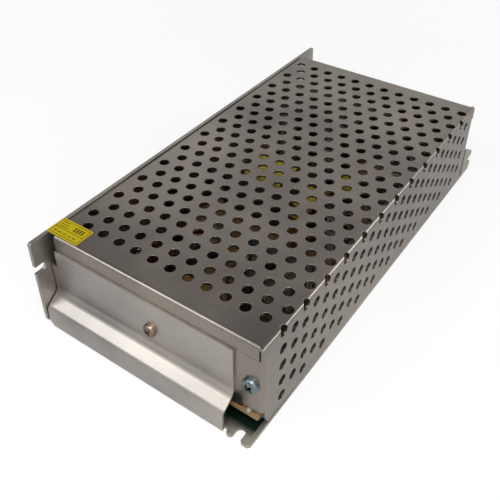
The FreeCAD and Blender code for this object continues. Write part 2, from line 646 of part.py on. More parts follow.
def make_cover():
    """Top, right side, end lips, end walls and left flange, folded from one perforated sheet."""
    bend = mm("cover_bend")
    inner_left = left + plate + mm("sheet_gap")
    side_low = plate + mm("foot_clearance")
    lip_low = top - mm("lip_drop")
    wall_top = lip_low - mm("wall_slit")
    lip_left, lip_right = left + mm("lip_start"), right - skin - mm("corner_slit")
    shell = fold([(inner_left, top - mm("flange_drop")), (inner_left, top), (right, top), (right, side_low)],
                 [bend, bend], skin, "xz", front, rear)
    gone = []
    for start, way in ((front, 1), (rear, -1)):
        inside = sorted((start - way, start + way * bend))
        gone.append(block((left - 1, inside[0], lip_low), (lip_right, inside[1], top + 1)))
        gone.append(block((left - 1, inside[0], -1), (right + 1, inside[1], lip_low)))
        ends = sorted((start - way, start + way * mm("flange_inset")))
        gone.append(block((left - 1, ends[0], -1), (inner_left + skin + 0.01, ends[1], top - bend)))
    shell = shell.cut(gone).cut(Part.makeCompound(mesh_tools()))
    lips, walls = [], []
    lips.append(fold([(front + bend, top), (front, top), (front, lip_low)][::-1],
                     [bend], skin, "yz", lip_left, lip_right))
    lips.append(fold([(rear - bend, top), (rear, top), (rear, lip_low)],
                     [bend], skin, "yz", lip_left, lip_right))
    walls.append(fold([(right, front + bend), (right, front), (lip_left, front)],
                      [bend], skin, "xy", mm(LEG_BOTTOM), wall_top))
    walls.append(fold([(right, rear - bend), (right, rear), (lip_left, rear)][::-1],
                      [bend], skin, "xy", mm("rear_bottom"), wall_top))
    slack = mm("term_window")
    body_left = left + mm("term_left")
    body_right = body_left + mm(TERM_LENGTH)
    window = block((lip_left - 1, front - 1, 0),
                   (body_right + slack, front + bend, board_top + mm("term_height") + slack))
    step = block((body_right, front - 1, 0),
                 (right - mm("leg_inset"), front + bend, board_top + mm("term_ear_height") + slack + 0.2))
    screw = Vector(mm("hood_screw_x"), front - 1, mm("hood_screw_z"))
    bores = [drill(mm("hood_screw_shank") + mm("thread_gap"), screw, screw + Vector(0, 3, 0))]
    for y in (front - 1, rear - 2):
        at = Vector(right - mm("end_screw_inset"), y, mm("end_screw_z"))
        bores.append(drill(mm("end_screw_shank") + mm("thread_gap"), at, at + Vector(0, 3, 0)))
    walls[0] = walls[0].cut([window, step] + bores[:2])
    walls[1] = walls[1].cut(bores[2])
    shape = shell.fuse(lips + walls).removeSplitter()
    corner = mm("corner_cut")
    bevel = slab([(front - 1, -1, 0), (front + corner, -1, 0), (front + corner, side_low, 0),
                  (front, mm(LEG_BOTTOM), 0), (front - 1, mm(LEG_BOTTOM), 0)],
                 "yz", right - 2 * skin, right + 1)
    tools = [bevel]
    for y in side_screw_places():
        at = Vector(left, y, top - mm("side_screw_drop"))
        tools.append(drill(mm("side_screw_shank") + mm("thread_gap"), at, at + Vector(4, 0, 0)))
    return shape.cut(tools)


# Terminal hood.


def make_hood():
    """Flat plate over the front wall, a shelf that leans out and a lip that drops to the base."""
    face = front - mm("hood_sheet")
    fold_out = face - mm("hood_reach")
    hood_top = top - mm("lip_drop") - mm("hood_gap")
    inner = left + plate + mm("hood_left_gap")
    end = right - mm("hood_inset")
    path = [(fold_out - mm("hood_flare"), mm("hood_bottom")), (fold_out, mm("hood_shelf_low")),
            (face, mm("hood_shelf_high")), (face, hood_top)]
    shape = fold(path, [mm("hood_outer_bend"), -mm("hood_inner_bend")], mm("hood_sheet"), "yz", inner, end)
    notch = block((inner - 1, face - 1, mm("hood_notch_low")), (inner + mm("hood_notch_width"), front + 1, top))
    corner, low = mm("hood_corner"), mm("hood_bottom")
    bevel = slab([(inner - 1, low - 1, 0), (inner + corner + 1, low - 1, 0), (inner - 1, low + corner + 1, 0)],
                 "xz", fold_out - 3, fold_out + 3)
    screw = Vector(mm("hood_screw_x"), face - 1, mm("hood_screw_z"))
    bore = drill(mm("hood_screw_shank") + mm("thread_gap"), screw, screw + Vector(0, 3, 0))
    return shape.cut([notch, bevel, bore])


node("chassis", formed("Chassis", make_chassis()))
node("mesh_cover", formed("MeshCover", make_cover()))
node("terminal_hood", formed("TerminalHood", make_hood()))


# Case fasteners.

HOOD_FACE = "(%s - hood_sheet)" % FRONT


def screw(name, at, way, head, rise, shank, length):
    """A pan head screw: the head stands against the place given, the shank runs on past it."""
    axis = {"X": 0, "Y": 1, "Z": 2}[way[1]]
    sign = 1 if way[0] == "+" else -1
    back = list(at)
    back[axis] = "%s - %d * (%s)" % (at[axis], sign, rise)
    crown = cone(name + "Crown", "0.72 * " + head, head, "0.45 * " + rise, back, way)
    seat = list(at)
    seat[axis] = "%s - %d * 0.55 * (%s)" % (at[axis], sign, rise)
    rim = rod(name + "Rim", head, "0.55 * " + rise, seat, way)
    stem = rod(name + "Stem", shank, length, at, way)
    return fused(name, [crown, rim, stem])


node("hood_screw", screw("HoodScrew", ("hood_screw_x", HOOD_FACE, "hood_screw_z"), "+Y",
                         "hood_screw_head", "hood_screw_rise", "hood_screw_shank",
                         "hood_sheet + cover_sheet + nut_thick"))


def make_nut():
    """Hexagon nut behind the front wall."""
    radius = mm("nut_width") / math.sqrt(3)
    x, z = mm("hood_screw_x"), mm("hood_screw_z")
    ring = [(x + radius * math.cos(math.radians(60 * k)), z + radius * math.sin(math.radians(60 * k)), 0)
            for k in range(6)]
    start = front + skin
    shape = slab(ring, "xz", start, start + mm("nut_thick"))
    at = Vector(x, start - 1, z)
    return shape.cut(drill(mm("hood_screw_shank") + mm("thread_gap"), at, at + Vector(0, 5, 0)))


node("hood_nut", formed("HoodNut", make_nut()))

END_X = "(%s - end_screw_inset)" % RIGHT
node("cover_end_screws", group("CoverEndScrews", [
    screw("FrontEndScrew", (END_X, FRONT, "end_screw_z"), "+Y",
          "end_screw_head", "end_screw_rise", "end_screw_shank", "end_screw_length"),
    screw("RearEndScrew", (END_X, REAR, "end_screw_z"), "-Y",
          "end_screw_head", "end_screw_rise", "end_screw_shank", "end_screw_length")]))


def make_bracket(start, way):
    """Angle on the board that takes an end screw: upright leg behind the wall, foot on the board."""
    leg = start + way * skin
    foot = leg + way * mm("bracket_foot")
    path = [(leg, board_top + mm("bracket_height")), (leg, board_top), (foot, board_top)]
    if way > 0:
        path = path[::-1]
    middle = right - mm("end_screw_inset")
    low, high = middle - mm("bracket_width") / 2, middle + mm("bracket_width") / 2
    shape = fold(path, [mm("bracket_bend")], mm("bracket_sheet"), "yz", low, high)
    across_bore = Vector(middle, leg - 3, mm("end_screw_z"))
    down_bore = Vector(middle, bracket_screw_place(start, way), board_top - 1)
    return shape.cut([
        drill(mm("end_screw_shank") + mm("thread_gap"), across_bore, across_bore + Vector(0, 6, 0)),
        drill(mm("board_screw_shank") + mm("thread_gap"), down_bore, down_bore + Vector(0, 0, 5))])


def bracket_screw_place(start, way):
    return start + way * (skin + mm("bracket_foot") - mm("board_screw_head") / 2)


node("end_brackets", group("EndBrackets", [
    formed("FrontBracket", make_bracket(front, 1)), formed("RearBracket", make_bracket(rear, -1))]))


def side_screw(name, y):
    z = "case_height - side_screw_drop"
    head = cone(name + "Head", "side_screw_head - thread_gap", "side_screw_shank", "side_screw_sink",
                (LEFT, y, z), "+X")
    stem = rod(name + "Stem", "side_screw_shank", "side_screw_length - side_screw_sink",
               ("%s + side_screw_sink" % LEFT, y, z), "+X")
    return fused(name, [head, stem])


node("side_screws", group("SideScrews", [
    side_screw("SideScrew%d" % k, "%d * side_screw_spacing" % (k - 1)) for k in range(3)]))

# Circuit board and what holds it.

BOARD_LEFT = "(%s + base_sheet + board_left)" % LEFT
BOARD_FRONT = "(%s - board_front)" % FRONT
BRACKET_REACH = "(cover_sheet + bracket_foot - board_screw_head / 2)"
POSTS = [
    (END_X, "(%s + %s)" % (FRONT, BRACKET_REACH), "bracket_sheet"),
    (END_X, "(%s - %s)" % (REAR, BRACKET_REACH), "bracket_sheet"),
    ("(%s + post_left)" % LEFT, "(%s + post_front)" % FRONT, "0"),
    ("(%s + post_left)" % LEFT, "post_middle", "0"),
    ("(%s + post_left)" % LEFT, "(%s - post_back)" % REAR, "0"),
    ("inner_post_x", "inner_post_y", "0"),
]

blank = box("BoardBlank",
            ("case_width - base_sheet - board_left - cover_sheet - board_right",
             "%s - cover_sheet - board_rear - %s" % (REAR, BOARD_FRONT), "board_sheet"),
            (BOARD_LEFT, BOARD_FRONT, "base_sheet + post_height"))
bores = [rod("BoardBore%d" % k, "board_screw_shank + thread_gap", "board_sheet + 2",
             (x, y, "base_sheet + post_height - 1")) for k, (x, y, lift) in enumerate(POSTS)]
node("circuit_board", cut("CircuitBoard", blank, bores))

posts = []
for k, (x, y, lift) in enumerate(POSTS):
    post = rod("Post%d" % k, "post_width", "post_height", (x, y, "base_sheet"))
    thread = rod("PostThread%d" % k, "board_screw_shank + thread_gap", "post_height", (x, y, "base_sheet"))
    posts.append(cut("BoardPost%d" % k, post, [thread]))
node("board_posts", group("BoardPosts", posts))
node("board_screws", group("BoardScrews", [
    screw("BoardScrew%d" % k, (x, y, "%s + %s" % (BOARD, lift)), "-Z", "board_screw_head",
          "board_screw_rise", "board_screw_shank", "board_sheet + board_screw_bite + %s" % lift)
    for k, (x, y, lift) in enumerate(POSTS)]))

# Terminal block.

TERM_LEFT = "(%s + term_left)" % LEFT
TERM_FRONT = "(%s + term_setback)" % FRONT
POLE = "((%s - term_rib) / term_poles)" % TERM_LENGTH


def make_terminal_block():
    """Open clamp stations between ribs, on a floor, before a back wall, with a low ear at each end."""
    x, y, z = mm(TERM_LEFT), mm(TERM_FRONT), board_top
    length, depth = mm(TERM_LENGTH), mm("term_depth")
    floor, height, rib = mm("term_floor"), mm("term_height"), mm("term_rib")
    profile = [(y, z, 0), (y + depth, z, 0), (y + depth, z + height, 0.5),
               (y + depth - mm("term_back"), z + height, 0.5), (y + depth - mm("term_back"), z + floor, 0),
               (y, z + floor, 0)]
    shape = slab(profile, "yz", x, x + length)
    fin = [(y, z, 0), (y + depth, z, 0), (y + depth, z + height, 0.5), (y, z + height, 1.5)]
    pitch = (length - rib) / mm("term_poles")
    fins = [slab(fin, "yz", x + k * pitch, x + k * pitch + rib) for k in range(int(mm("term_poles")) + 1)]
    ear, tall, back = mm("term_ear"), mm("term_ear_height"), y + mm("term_ear_depth")
    left_ear = min(ear, mm("term_left") - plate - mm("board_left"))
    fins.append(block((x - left_ear, y, z), (x, back, z + tall)))
    fins.append(block((x + length, y, z), (x + length + ear, back, z + tall)))
    shape = shape.fuse(fins).removeSplitter()
    wells = []
    for k in range(int(mm("term_poles"))):
        at = Vector(x + rib + (k + 0.5) * pitch - rib / 2, y + (depth - mm("term_back")) / 2, z + floor)
        down = Vector(0, 0, mm("term_screw_bite") + 0.3)
        wells.append(drill(mm("term_screw_shank") + mm("thread_gap"), at - down, at + down))
    return shape.cut(wells)


node("terminal_block", formed("TerminalBlock", make_terminal_block()))

plates, clamps = [], []
for k in range(int(mm("term_poles"))):
    x = "(%s + term_rib / 2 + %d.5 * %s)" % (TERM_LEFT, k, POLE)
    y = "(%s + (term_depth - term_back) / 2)" % TERM_FRONT
    z = "(%s + term_floor)" % BOARD
    wide = "(%s - term_rib - 2 * term_plate_inset)" % POLE
    deep = "(term_depth - term_back - 2 * term_plate_inset)"
    strip = box("Strip%d" % k, (wide, deep, "term_plate"), ("%s - %s / 2" % (x, wide), "%s - %s / 2" % (y, deep), z))
    hole = rod("StripHole%d" % k, "term_screw_shank + thread_gap", "term_plate + 2", (x, y, z + " - 1"))
    plates.append(cut("TerminalPlate%d" % k, strip, [hole]))
    clamps.append(screw("TerminalScrew%d" % k, (x, y, z + " + term_plate"), "-Z", "term_screw_head",
                        "term_screw_rise", "term_screw_shank", "term_plate + term_screw_bite"))
node("terminal_plates", group("TerminalPlates", plates))
node("terminal_screws", group("TerminalScrews", clamps))

# Indicator lamp and voltage adjuster.

LAMP_Z = "(%s + lamp_bore / 2 + 0.1)" % BOARD
lamp = rod("LampBody", "lamp_bore", "lamp_length - lamp_bore / 2",
           ("lamp_x", "%s - lamp_reach + lamp_length" % FRONT, LAMP_Z), "-Y")
dome = doc.addObject("Part::Sphere", "LampDome")
bind(dome, "Radius", "lamp_bore / 2")
place(dome, ("lamp_x", "%s - lamp_reach + lamp_bore / 2" % FRONT, LAMP_Z))
seat = box("LampSeat", ("lamp_bore", "0.6", "lamp_bore + 0.1"),
           ("lamp_x - lamp_bore / 2", "%s - lamp_reach + lamp_length - 0.6" % FRONT, BOARD))
node("indicator_lamp", fused("IndicatorLamp", [lamp, dome, seat]))

ADJ_X = "(%s - column_end - hole_pitch / 2)" % RIGHT
ADJ_Y = "(%s + row_margin)" % FRONT
ADJ_TOP = "(%s + adjuster_height)" % BOARD
case = box("AdjusterCase", ("adjuster_width", "adjuster_width", "adjuster_height"),
           (ADJ_X + " - adjuster_width / 2", ADJ_Y + " - adjuster_width / 2", BOARD))
well = rod("AdjusterWell", "adjuster_rotor + 2 * adjuster_fit", "adjuster_sunk + 1",
           (ADJ_X, ADJ_Y, ADJ_TOP + " - adjuster_sunk"))
node("adjuster_body", cut("AdjusterBody", case, [well]))
disc = rod("AdjusterDisc", "adjuster_rotor", "adjuster_rise", (ADJ_X, ADJ_Y, ADJ_TOP + " - adjuster_sunk"))
kerf = box("AdjusterKerf", ("adjuster_rotor + 1", "adjuster_kerf", "adjuster_kerf_depth + 1"),
           (ADJ_X + " - adjuster_rotor / 2 - 0.5", ADJ_Y + " - adjuster_kerf / 2",
            ADJ_TOP + " - adjuster_sunk + adjuster_rise - adjuster_kerf_depth"))
node("adjuster_rotor", cut("AdjusterRotor", disc, [kerf]))

# Mains side: fuse, inrush thermistor, filter choke and capacitor, bridge.

FUSE_Z = "(%s + fuse_rise)" % BOARD
tube = rod("FuseTube", "fuse_bore", "fuse_length - 2 * fuse_cap_length",
           ("fuse_x", "fuse_y - fuse_length / 2 + fuse_cap_length", FUSE_Z), "+Y")
node("fuse_tube", tube)
node("fuse_caps", group("FuseCaps", [
    rod("FuseCapFront", "fuse_cap", "fuse_cap_length", ("fuse_x", "fuse_y - fuse_length / 2", FUSE_Z), "+Y"),
    rod("FuseCapRear", "fuse_cap", "fuse_cap_length",
        ("fuse_x", "fuse_y + fuse_length / 2 - fuse_cap_length", FUSE_Z), "+Y")]))


def make_clip(middle):
    """Spring clip: two arms up from the board that hold a fuse cap."""
    x = mm("fuse_x")
    half = mm("fuse_cap") / 2 + mm("clip_gap") + mm("clip_sheet")
    high = board_top + mm("fuse_rise") + 1.8
    path = [(x - half, high), (x - half, board_top), (x + half, board_top), (x + half, high)]
    radius = mm("clip_sheet") + 0.6
    return fold(path[::-1], [radius, radius], mm("clip_sheet"), "xz", middle - 1.9, middle + 1.9)


clip_at = mm("(fuse_length - fuse_cap_length) / 2")
node("fuse_clips", group("FuseClips", [
    formed("FuseClipFront", make_clip(mm("fuse_y") - clip_at)),
    formed("FuseClipRear", make_clip(mm("fuse_y") + clip_at))]))


def leads(name, places, high):
    """Straight wires from the board up into a component."""
    return [rod("%sLead%d" % (name, k), "lead_bore", high, (x, y, BOARD)) for k, (x, y) in enumerate(places)]


INRUSH_Z = "(%s + lead_rise + inrush_disc / 2)" % BOARD
thermistor = rod("InrushDisc", "inrush_disc", "inrush_thick",
                 ("inrush_x", "inrush_y - inrush_thick / 2", INRUSH_Z), "+Y")
node("inrush_thermistor", fused("InrushThermistor", [thermistor] + leads(
    "Inrush", [("inrush_x - inrush_step / 2", "inrush_y"), ("inrush_x + inrush_step / 2", "inrush_y")],
    "lead_rise + inrush_disc / 2")))


def ring_core(outer, inner, tall, at, way):
    """Toroid core, one end face at the place given."""
    core = Part.makeCylinder(outer / 2, tall, at, way)
    return core.cut(Part.makeCylinder(inner / 2, tall, at, way))


def ring_winding(outer, inner, tall, build, at, way, begin, sweep):
    """Winding laid round part of a toroid, as a closed layer of wire with rounded outer edges."""
    low, high = inner / 2 - build, outer / 2 + build
    layer = outline([(low, -build, 0.6 * build), (high, -build, build), (high, tall + build, build),
                     (low, tall + build, 0.6 * build)])
    shape = stand(Part.Face(layer), "xz", 0).revolve(Vector(0, 0, 0), Vector(0, 0, 1), sweep)
    shape.rotate(Vector(0, 0, 0), Vector(0, 0, 1), begin)
    shape = shape.cut(ring_core(outer, inner, tall, Vector(0, 0, 0), Vector(0, 0, 1)))
    shape.Placement = FreeCAD.Placement(at, FreeCAD.Rotation(Vector(0, 0, 1), way)).multiply(shape.Placement)
    return shape


choke_floor = board_top + mm("choke_base")
choke_at = Vector(mm("choke_x"), mm("choke_y"), choke_floor + mm("choke_wire"))
choke_size = (mm("choke_outer"), mm("choke_inner"), mm("choke_tall"))
node("choke_base", box("ChokeBase",
                       ("choke_outer + 2 * choke_wire", "choke_outer + 2 * choke_wire", "choke_base"),
                       ("choke_x - choke_outer / 2 - choke_wire", "choke_y - choke_outer / 2 - choke_wire", BOARD)))
node("choke_core", formed("ChokeCore", ring_core(*choke_size, choke_at, Vector(0, 0, 1))))
node("choke_windings", group("ChokeWindings", [
    formed("ChokeWinding%d" % k, ring_winding(*choke_size, mm("choke_wire"), choke_at, Vector(0, 0, 1),
                                              begin, 130.0))
    for k, begin in enumerate((25.0, 205.0))]))

node("filter_capacitor", formed("FilterCapacitor", slab([
    (mm("box_cap_x - box_cap_length / 2"), mm("box_cap_y - box_cap_width / 2"), 0.8),
    (mm("box_cap_x + box_cap_length / 2"), mm("box_cap_y - box_cap_width / 2"), 0.8),
    (mm("box_cap_x + box_cap_length / 2"), mm("box_cap_y + box_cap_width / 2"), 0.8),
    (mm("box_cap_x - box_cap_length / 2"), mm("box_cap_y + box_cap_width / 2"), 0.8)],
    "xy", board_top, board_top + mm("box_cap_height"))))

rectifier = box("BridgeBody", ("bridge_thick", "bridge_length", "bridge_height"),
                ("bridge_x - bridge_thick / 2", "bridge_y - bridge_length / 2", BOARD + " + lead_rise"))
node("bridge_rectifier", fused("BridgeRectifier", [rectifier] + leads(
    "Bridge", [("bridge_x", "bridge_y + %s * bridge_step" % k) for k in (-1.5, -0.5, 0.5, 1.5)],
    "lead_rise + lead_bite")))


def can(name, bore, tall, x, y):
    """Upright can capacitor: rolled-in groove near its foot and a stepped rim round its top."""
    r, h = mm(bore) / 2, mm(tall)
    z = board_top
    groove = 0.05 * r
    points = [(0, z, 0), (r, z, 0), (r, z + 0.06 * h, 0), (r - groove, z + 0.085 * h, 0),
              (r, z + 0.11 * h, 0), (r, z + h - groove, 0), (r - groove, z + h, 0), (0.82 * r, z + h, 0),
              (0.8 * r, z + h - groove, 0), (0, z + h - groove, 0)]
    face = stand(Part.Face(outline(points)), "xz", 0)
    shape = face.revolve(Vector(0, 0, 0), Vector(0, 0, 1), 360)
    shape.translate(Vector(mm(x), mm(y), 0))
    return formed(name, shape)


node("input_capacitors", group("InputCapacitors", [
    can("InputCapacitor%d" % k, "bulk_cap_bore", "%s - %s - bulk_cap_gap" % (UNDER_COVER, BOARD),
        "bulk_cap_x + %d * bulk_cap_step" % k, "bulk_cap_y") for k in range(2)]))

# Transformers.


def transformer(label, part):
    """Two E cores closed round a winding, on a bobbin whose rails stand on the board."""
    x, y = mm(part + "_x"), mm(part + "_y")
    long, wide, tall = mm(part + "_long"), mm(part + "_wide"), mm(part + "_tall")
    leg, high, rail = mm(part + "_leg"), mm(part + "_winding"), mm(part + "_pins")
    gap, thin = mm("bobbin_gap"), mm("bobbin_wall")
    middle = board_top + rail + thin + high / 2
    window_x, window_y = long - 2 * leg, wide - 2 * leg
    post = min(2 * leg, 0.5 * window_y)
    core = block((x - long / 2, y - wide / 2, middle - tall / 2), (x + long / 2, y + wide / 2, middle + tall / 2))
    openings = []
    for side in (-1, 1):
        low, up = sorted((side * post / 2, side * window_y / 2))
        openings.append(block((x - window_x / 2, y + low, middle - tall), (x + window_x / 2, y + up, middle + tall)))
    core = core.cut(openings)
    node(label + "_core", formed(label.title().replace("_", "") + "Core", core))
    half = window_y / 2 - gap
    edge = 0.3 * half
    start, end = x - window_x / 2 + gap + thin, x + window_x / 2 - gap - thin
    round_layer = slab([(y - half, middle - high / 2, edge), (y + half, middle - high / 2, edge),
                        (y + half, middle + high / 2, edge), (y - half, middle + high / 2, edge)],
                       "yz", start, end)
    sleeve = gap + thin
    tunnel = block((start - 1, y - post / 2 - sleeve, middle - tall / 2 - sleeve),
                   (end + 1, y + post / 2 + sleeve, middle + tall / 2 + sleeve))
    node(label + "_winding", formed(label.title().replace("_", "") + "Winding", round_layer.cut(tunnel)))
    tube = block((start - thin, y - post / 2 - sleeve, middle - tall / 2 - sleeve),
                 (end + thin, y + post / 2 + sleeve, middle + tall / 2 + sleeve))
    pieces = [tube]
    for begin in (start - thin, end):
        pieces.append(block((begin, y - half, middle - high / 2), (begin + thin, y + half, middle + high / 2)))
    for begin in (start - thin, end + thin - 0.45 * leg):
        pieces.append(block((begin, y - half, board_top), (begin + 0.45 * leg, y + half, middle - high / 2)))
    hollow = block((start - 2, y - post / 2 - gap, middle - tall / 2 - gap),
                   (end + 2, y + post / 2 + gap, middle + tall / 2 + gap))
    bobbin = pieces[0].fuse(pieces[1:]).removeSplitter().cut(hollow)
    node(label + "_bobbin", formed(label.title().replace("_", "") + "Bobbin", bobbin))


transformer("main_transformer", "main")
transformer("drive_transformer", "drive")

# Heatsinks and what they cool.


def make_primary_sink():
    """Bent plate across the case: foot on the board, upright face, and a flange under the mesh."""
    y, thick = mm("sink_y"), mm("sink_sheet")
    high = top - skin - mm("sink_gap")
    begin, end = mm("sink_x"), right - mm("sink_right")
    path = [(y + mm("sink_foot"), board_top), (y, board_top), (y, high), (y - mm("sink_flange"), high)]
    shape = fold(path[:3], [mm("sink_bend")], thick, "yz", begin, end)
    flange = fold([(y - mm("sink_flange"), high), (y + thick, high), (y + thick, board_top + mm("sink_split"))],
                  [mm("sink_bend")], thick, "yz", begin, end)
    shape = shape.fuse(flange).removeSplitter()
    bores = []
    for x, z in transistor_places():
        at = Vector(x, y - 1, z)
        bores.append(drill(mm("chip_screw_shank") + mm("thread_gap"), at, at + Vector(0, thick + 2, 0)))
    return shape.cut(bores)


def transistor_places():
    high = board_top + mm("chip_rise") + mm("chip_tall") - mm("chip_bore_drop")
    return [(mm("transistor_x") + k * mm("chip_step"), high) for k in range(2)]


def rectifier_places():
    high = board_top + mm("chip_rise") + mm("chip_tall") - mm("chip_bore_drop")
    return [(mm("rectifier_y") + k * mm("chip_step"), high) for k in range(2)]


def make_package(along, across_at, way):
    """Moulded package with a mounting hole, flat against a heatsink, and its three legs."""
    wide, tall, thick = mm("chip_wide"), mm("chip_tall"), mm("chip_thick")
    low = board_top + mm("chip_rise")
    plane = "xz" if way == "-Y" else "yz"
    body = slab([(along - wide / 2, low, 0.4), (along + wide / 2, low, 0.4),
                 (along + wide / 2, low + tall, 0.8), (along - wide / 2, low + tall, 0.8)],
                plane, across_at - thick, across_at)
    leg, step = mm("chip_leg") / 2, mm("chip_leg_step")
    legs = [slab([(along + k * step - leg, board_top, 0), (along + k * step + leg, board_top, 0),
                  (along + k * step + leg, low + 1, 0), (along + k * step - leg, low + 1, 0)],
                 plane, across_at - thick / 2 - 0.7 * leg, across_at - thick / 2 + 0.7 * leg) for k in (-1, 0, 1)]
    bore = mm("chip_screw_shank") + mm("thread_gap")
    high = low + tall - mm("chip_bore_drop")
    if way == "-Y":
        hole = drill(bore, Vector(along, across_at - thick - 1, high), Vector(along, across_at + 1, high))
    else:
        hole = drill(bore, Vector(across_at - thick - 1, along, high), Vector(across_at + 1, along, high))
    return body.fuse(legs).removeSplitter().cut(hole)


node("primary_heatsink", formed("PrimaryHeatsink", make_primary_sink()))
node("power_transistors", group("PowerTransistors", [
    formed("PowerTransistor%d" % k, make_package(x, mm("sink_y"), "-Y"))
    for k, (x, z) in enumerate(transistor_places())]))
CHIP_Z = "(%s + chip_rise + chip_tall - chip_bore_drop)" % BOARD
node("transistor_screws", group("TransistorScrews", [
    screw("TransistorScrew%d" % k, ("transistor_x + %d * chip_step" % k, "sink_y - chip_thick", CHIP_Z), "+Y",
          "chip_screw_head", "chip_screw_rise", "chip_screw_shank", "chip_thick + sink_sheet")
    for k in range(2)]))

side_plate = box("SideSinkPlate", ("sink_sheet", "side_sink_length", "side_sink_height"),
                 ("side_sink_x", "side_sink_y - side_sink_length / 2", BOARD))
side_bores = [rod("SideSinkBore%d" % k, "chip_screw_shank + thread_gap", "sink_sheet + 2",
                  ("side_sink_x - 1", "rectifier_y + %d * chip_step" % k, CHIP_Z), "+X") for k in range(2)]
node("secondary_heatsink", cut("SecondaryHeatsink", side_plate, side_bores))
node("output_rectifiers", group("OutputRectifiers", [
    formed("OutputRectifier%d" % k, make_package(y, mm("side_sink_x"), "-X"))
    for k, (y, z) in enumerate(rectifier_places())]))
node("rectifier_screws", group("RectifierScrews", [
    screw("RectifierScrew%d" % k, ("side_sink_x - chip_thick", "rectifier_y + %d * chip_step" % k, CHIP_Z), "+X",
          "chip_screw_head", "chip_screw_rise", "chip_screw_shank", "chip_thick + sink_sheet")
    for k in range(2)]))

# Output side: inductor and capacitors.

coil_size = (mm("coil_outer"), mm("coil_inner"), mm("coil_thick"))
coil_z = board_top + mm("coil_gap") + mm("coil_outer") / 2 + mm("coil_wire")
coil_at = Vector(mm("coil_x") - mm("coil_thick") / 2, mm("coil_y"), coil_z)
node("inductor_core", formed("InductorCore", ring_core(*coil_size, coil_at, Vector(1, 0, 0))))
node("inductor_winding", formed("InductorWinding", ring_winding(
    *coil_size, mm("coil_wire"), coil_at, Vector(1, 0, 0), 210.0, 300.0)))

node("output_capacitors", group("OutputCapacitors", [
    can("OutputCapacitor%d" % k, "out_cap_bore", "out_cap_height",
        "out_cap_x + %d * out_cap_step" % (k % 2), "out_cap_y + %d * out_cap_step" % (k // 2))
    for k in range(4)]))
node("blue_capacitor", can("BlueCapacitor", "blue_cap_bore", "blue_cap_height", "blue_cap_x", "blue_cap_y"))
node("small_capacitors", group("SmallCapacitors", [
    can("SmallCapacitor" + k, "small_cap_bore", "small_cap_height", "can_%s_x" % k, "can_%s_y" % k)
    for k in "abcde"]))

discs = []
for k in "abc":
    x, y = "disc_%s_x" % k, "disc_%s_y" % k
    body = rod("DiscBody" + k, "disc_bore", "disc_thick",
               (x, y + " - disc_thick / 2", BOARD + " + lead_rise + disc_bore / 2"), "+Y")
    discs.append(fused("DiscCapacitor" + k, [body] + leads(
        "Disc" + k, [(x + " - disc_step / 2", y), (x + " + disc_step / 2", y)], "lead_rise + lead_bite")))
node("disc_capacitors", group("DiscCapacitors", discs))

# Control side.

chip = box("ChipBody", ("ic_length", "ic_width", "ic_height - ic_rise"),
           ("ic_x - ic_length / 2", "ic_y - ic_width / 2", BOARD + " + ic_rise"))
rows = [box("ChipRow%d" % k, ("0.9 * ic_length", "ic_rise", "ic_height / 2"),
            ("ic_x - 0.45 * ic_length", "ic_y + %s" % y, BOARD))
        for k, y in enumerate(("ic_width / 2", "(-ic_width / 2 - ic_rise)"))]
node("control_chip", fused("ControlChip", [chip] + rows))

resistors = []
for k in "abcdef":
    x, y = "resistor_%s_x" % k, "resistor_%s_y" % k
    axis = BOARD + " + resistor_bore / 2 + resistor_wire / 2"
    body = rod("ResistorBody" + k, "resistor_bore", "resistor_length",
               (x + " - resistor_length / 2", y, axis), "+X")
    wire = box("ResistorWire" + k, ("resistor_span", "resistor_wire", "resistor_wire"),
               (x + " - resistor_span / 2", y + " - resistor_wire / 2", axis + " - resistor_wire / 2"))
    feet = [box("ResistorFoot%s%d" % (k, n), ("resistor_wire", "resistor_wire", "(resistor_bore + resistor_wire) / 2"),
                (x + at, y + " - resistor_wire / 2", BOARD))
            for n, at in enumerate((" - resistor_span / 2", " + resistor_span / 2 - resistor_wire"))]
    resistors.append(fused("Resistor" + k, [body, wire] + feet))
node("resistors", group("Resistors", resistors))

node("sealing_label", box("SealingLabel", ("label_length", "label_width", "label_thick"),
                          (LEFT + " + label_inset", FRONT, "case_height")))

# Checks and files.

doc.recompute()
for feature in doc.Objects:
    if "Invalid" in feature.State or "Error" in feature.State:
        raise RuntimeError("failed feature: " + feature.Name)
os.makedirs("parts", exist_ok=True)
unsound = [feature.Label for feature in NODES
           if feature.Shape.isNull() or not feature.Shape.isValid() or not feature.Shape.Solids]
if unsound:
    raise RuntimeError("no valid solid in " + ", ".join(unsound))
for feature in NODES:
    feature.Shape.exportStep(os.path.join("parts", feature.Label + ".step"))
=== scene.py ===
import math

import bmesh
import bpy
from mathutils import Matrix, Vector


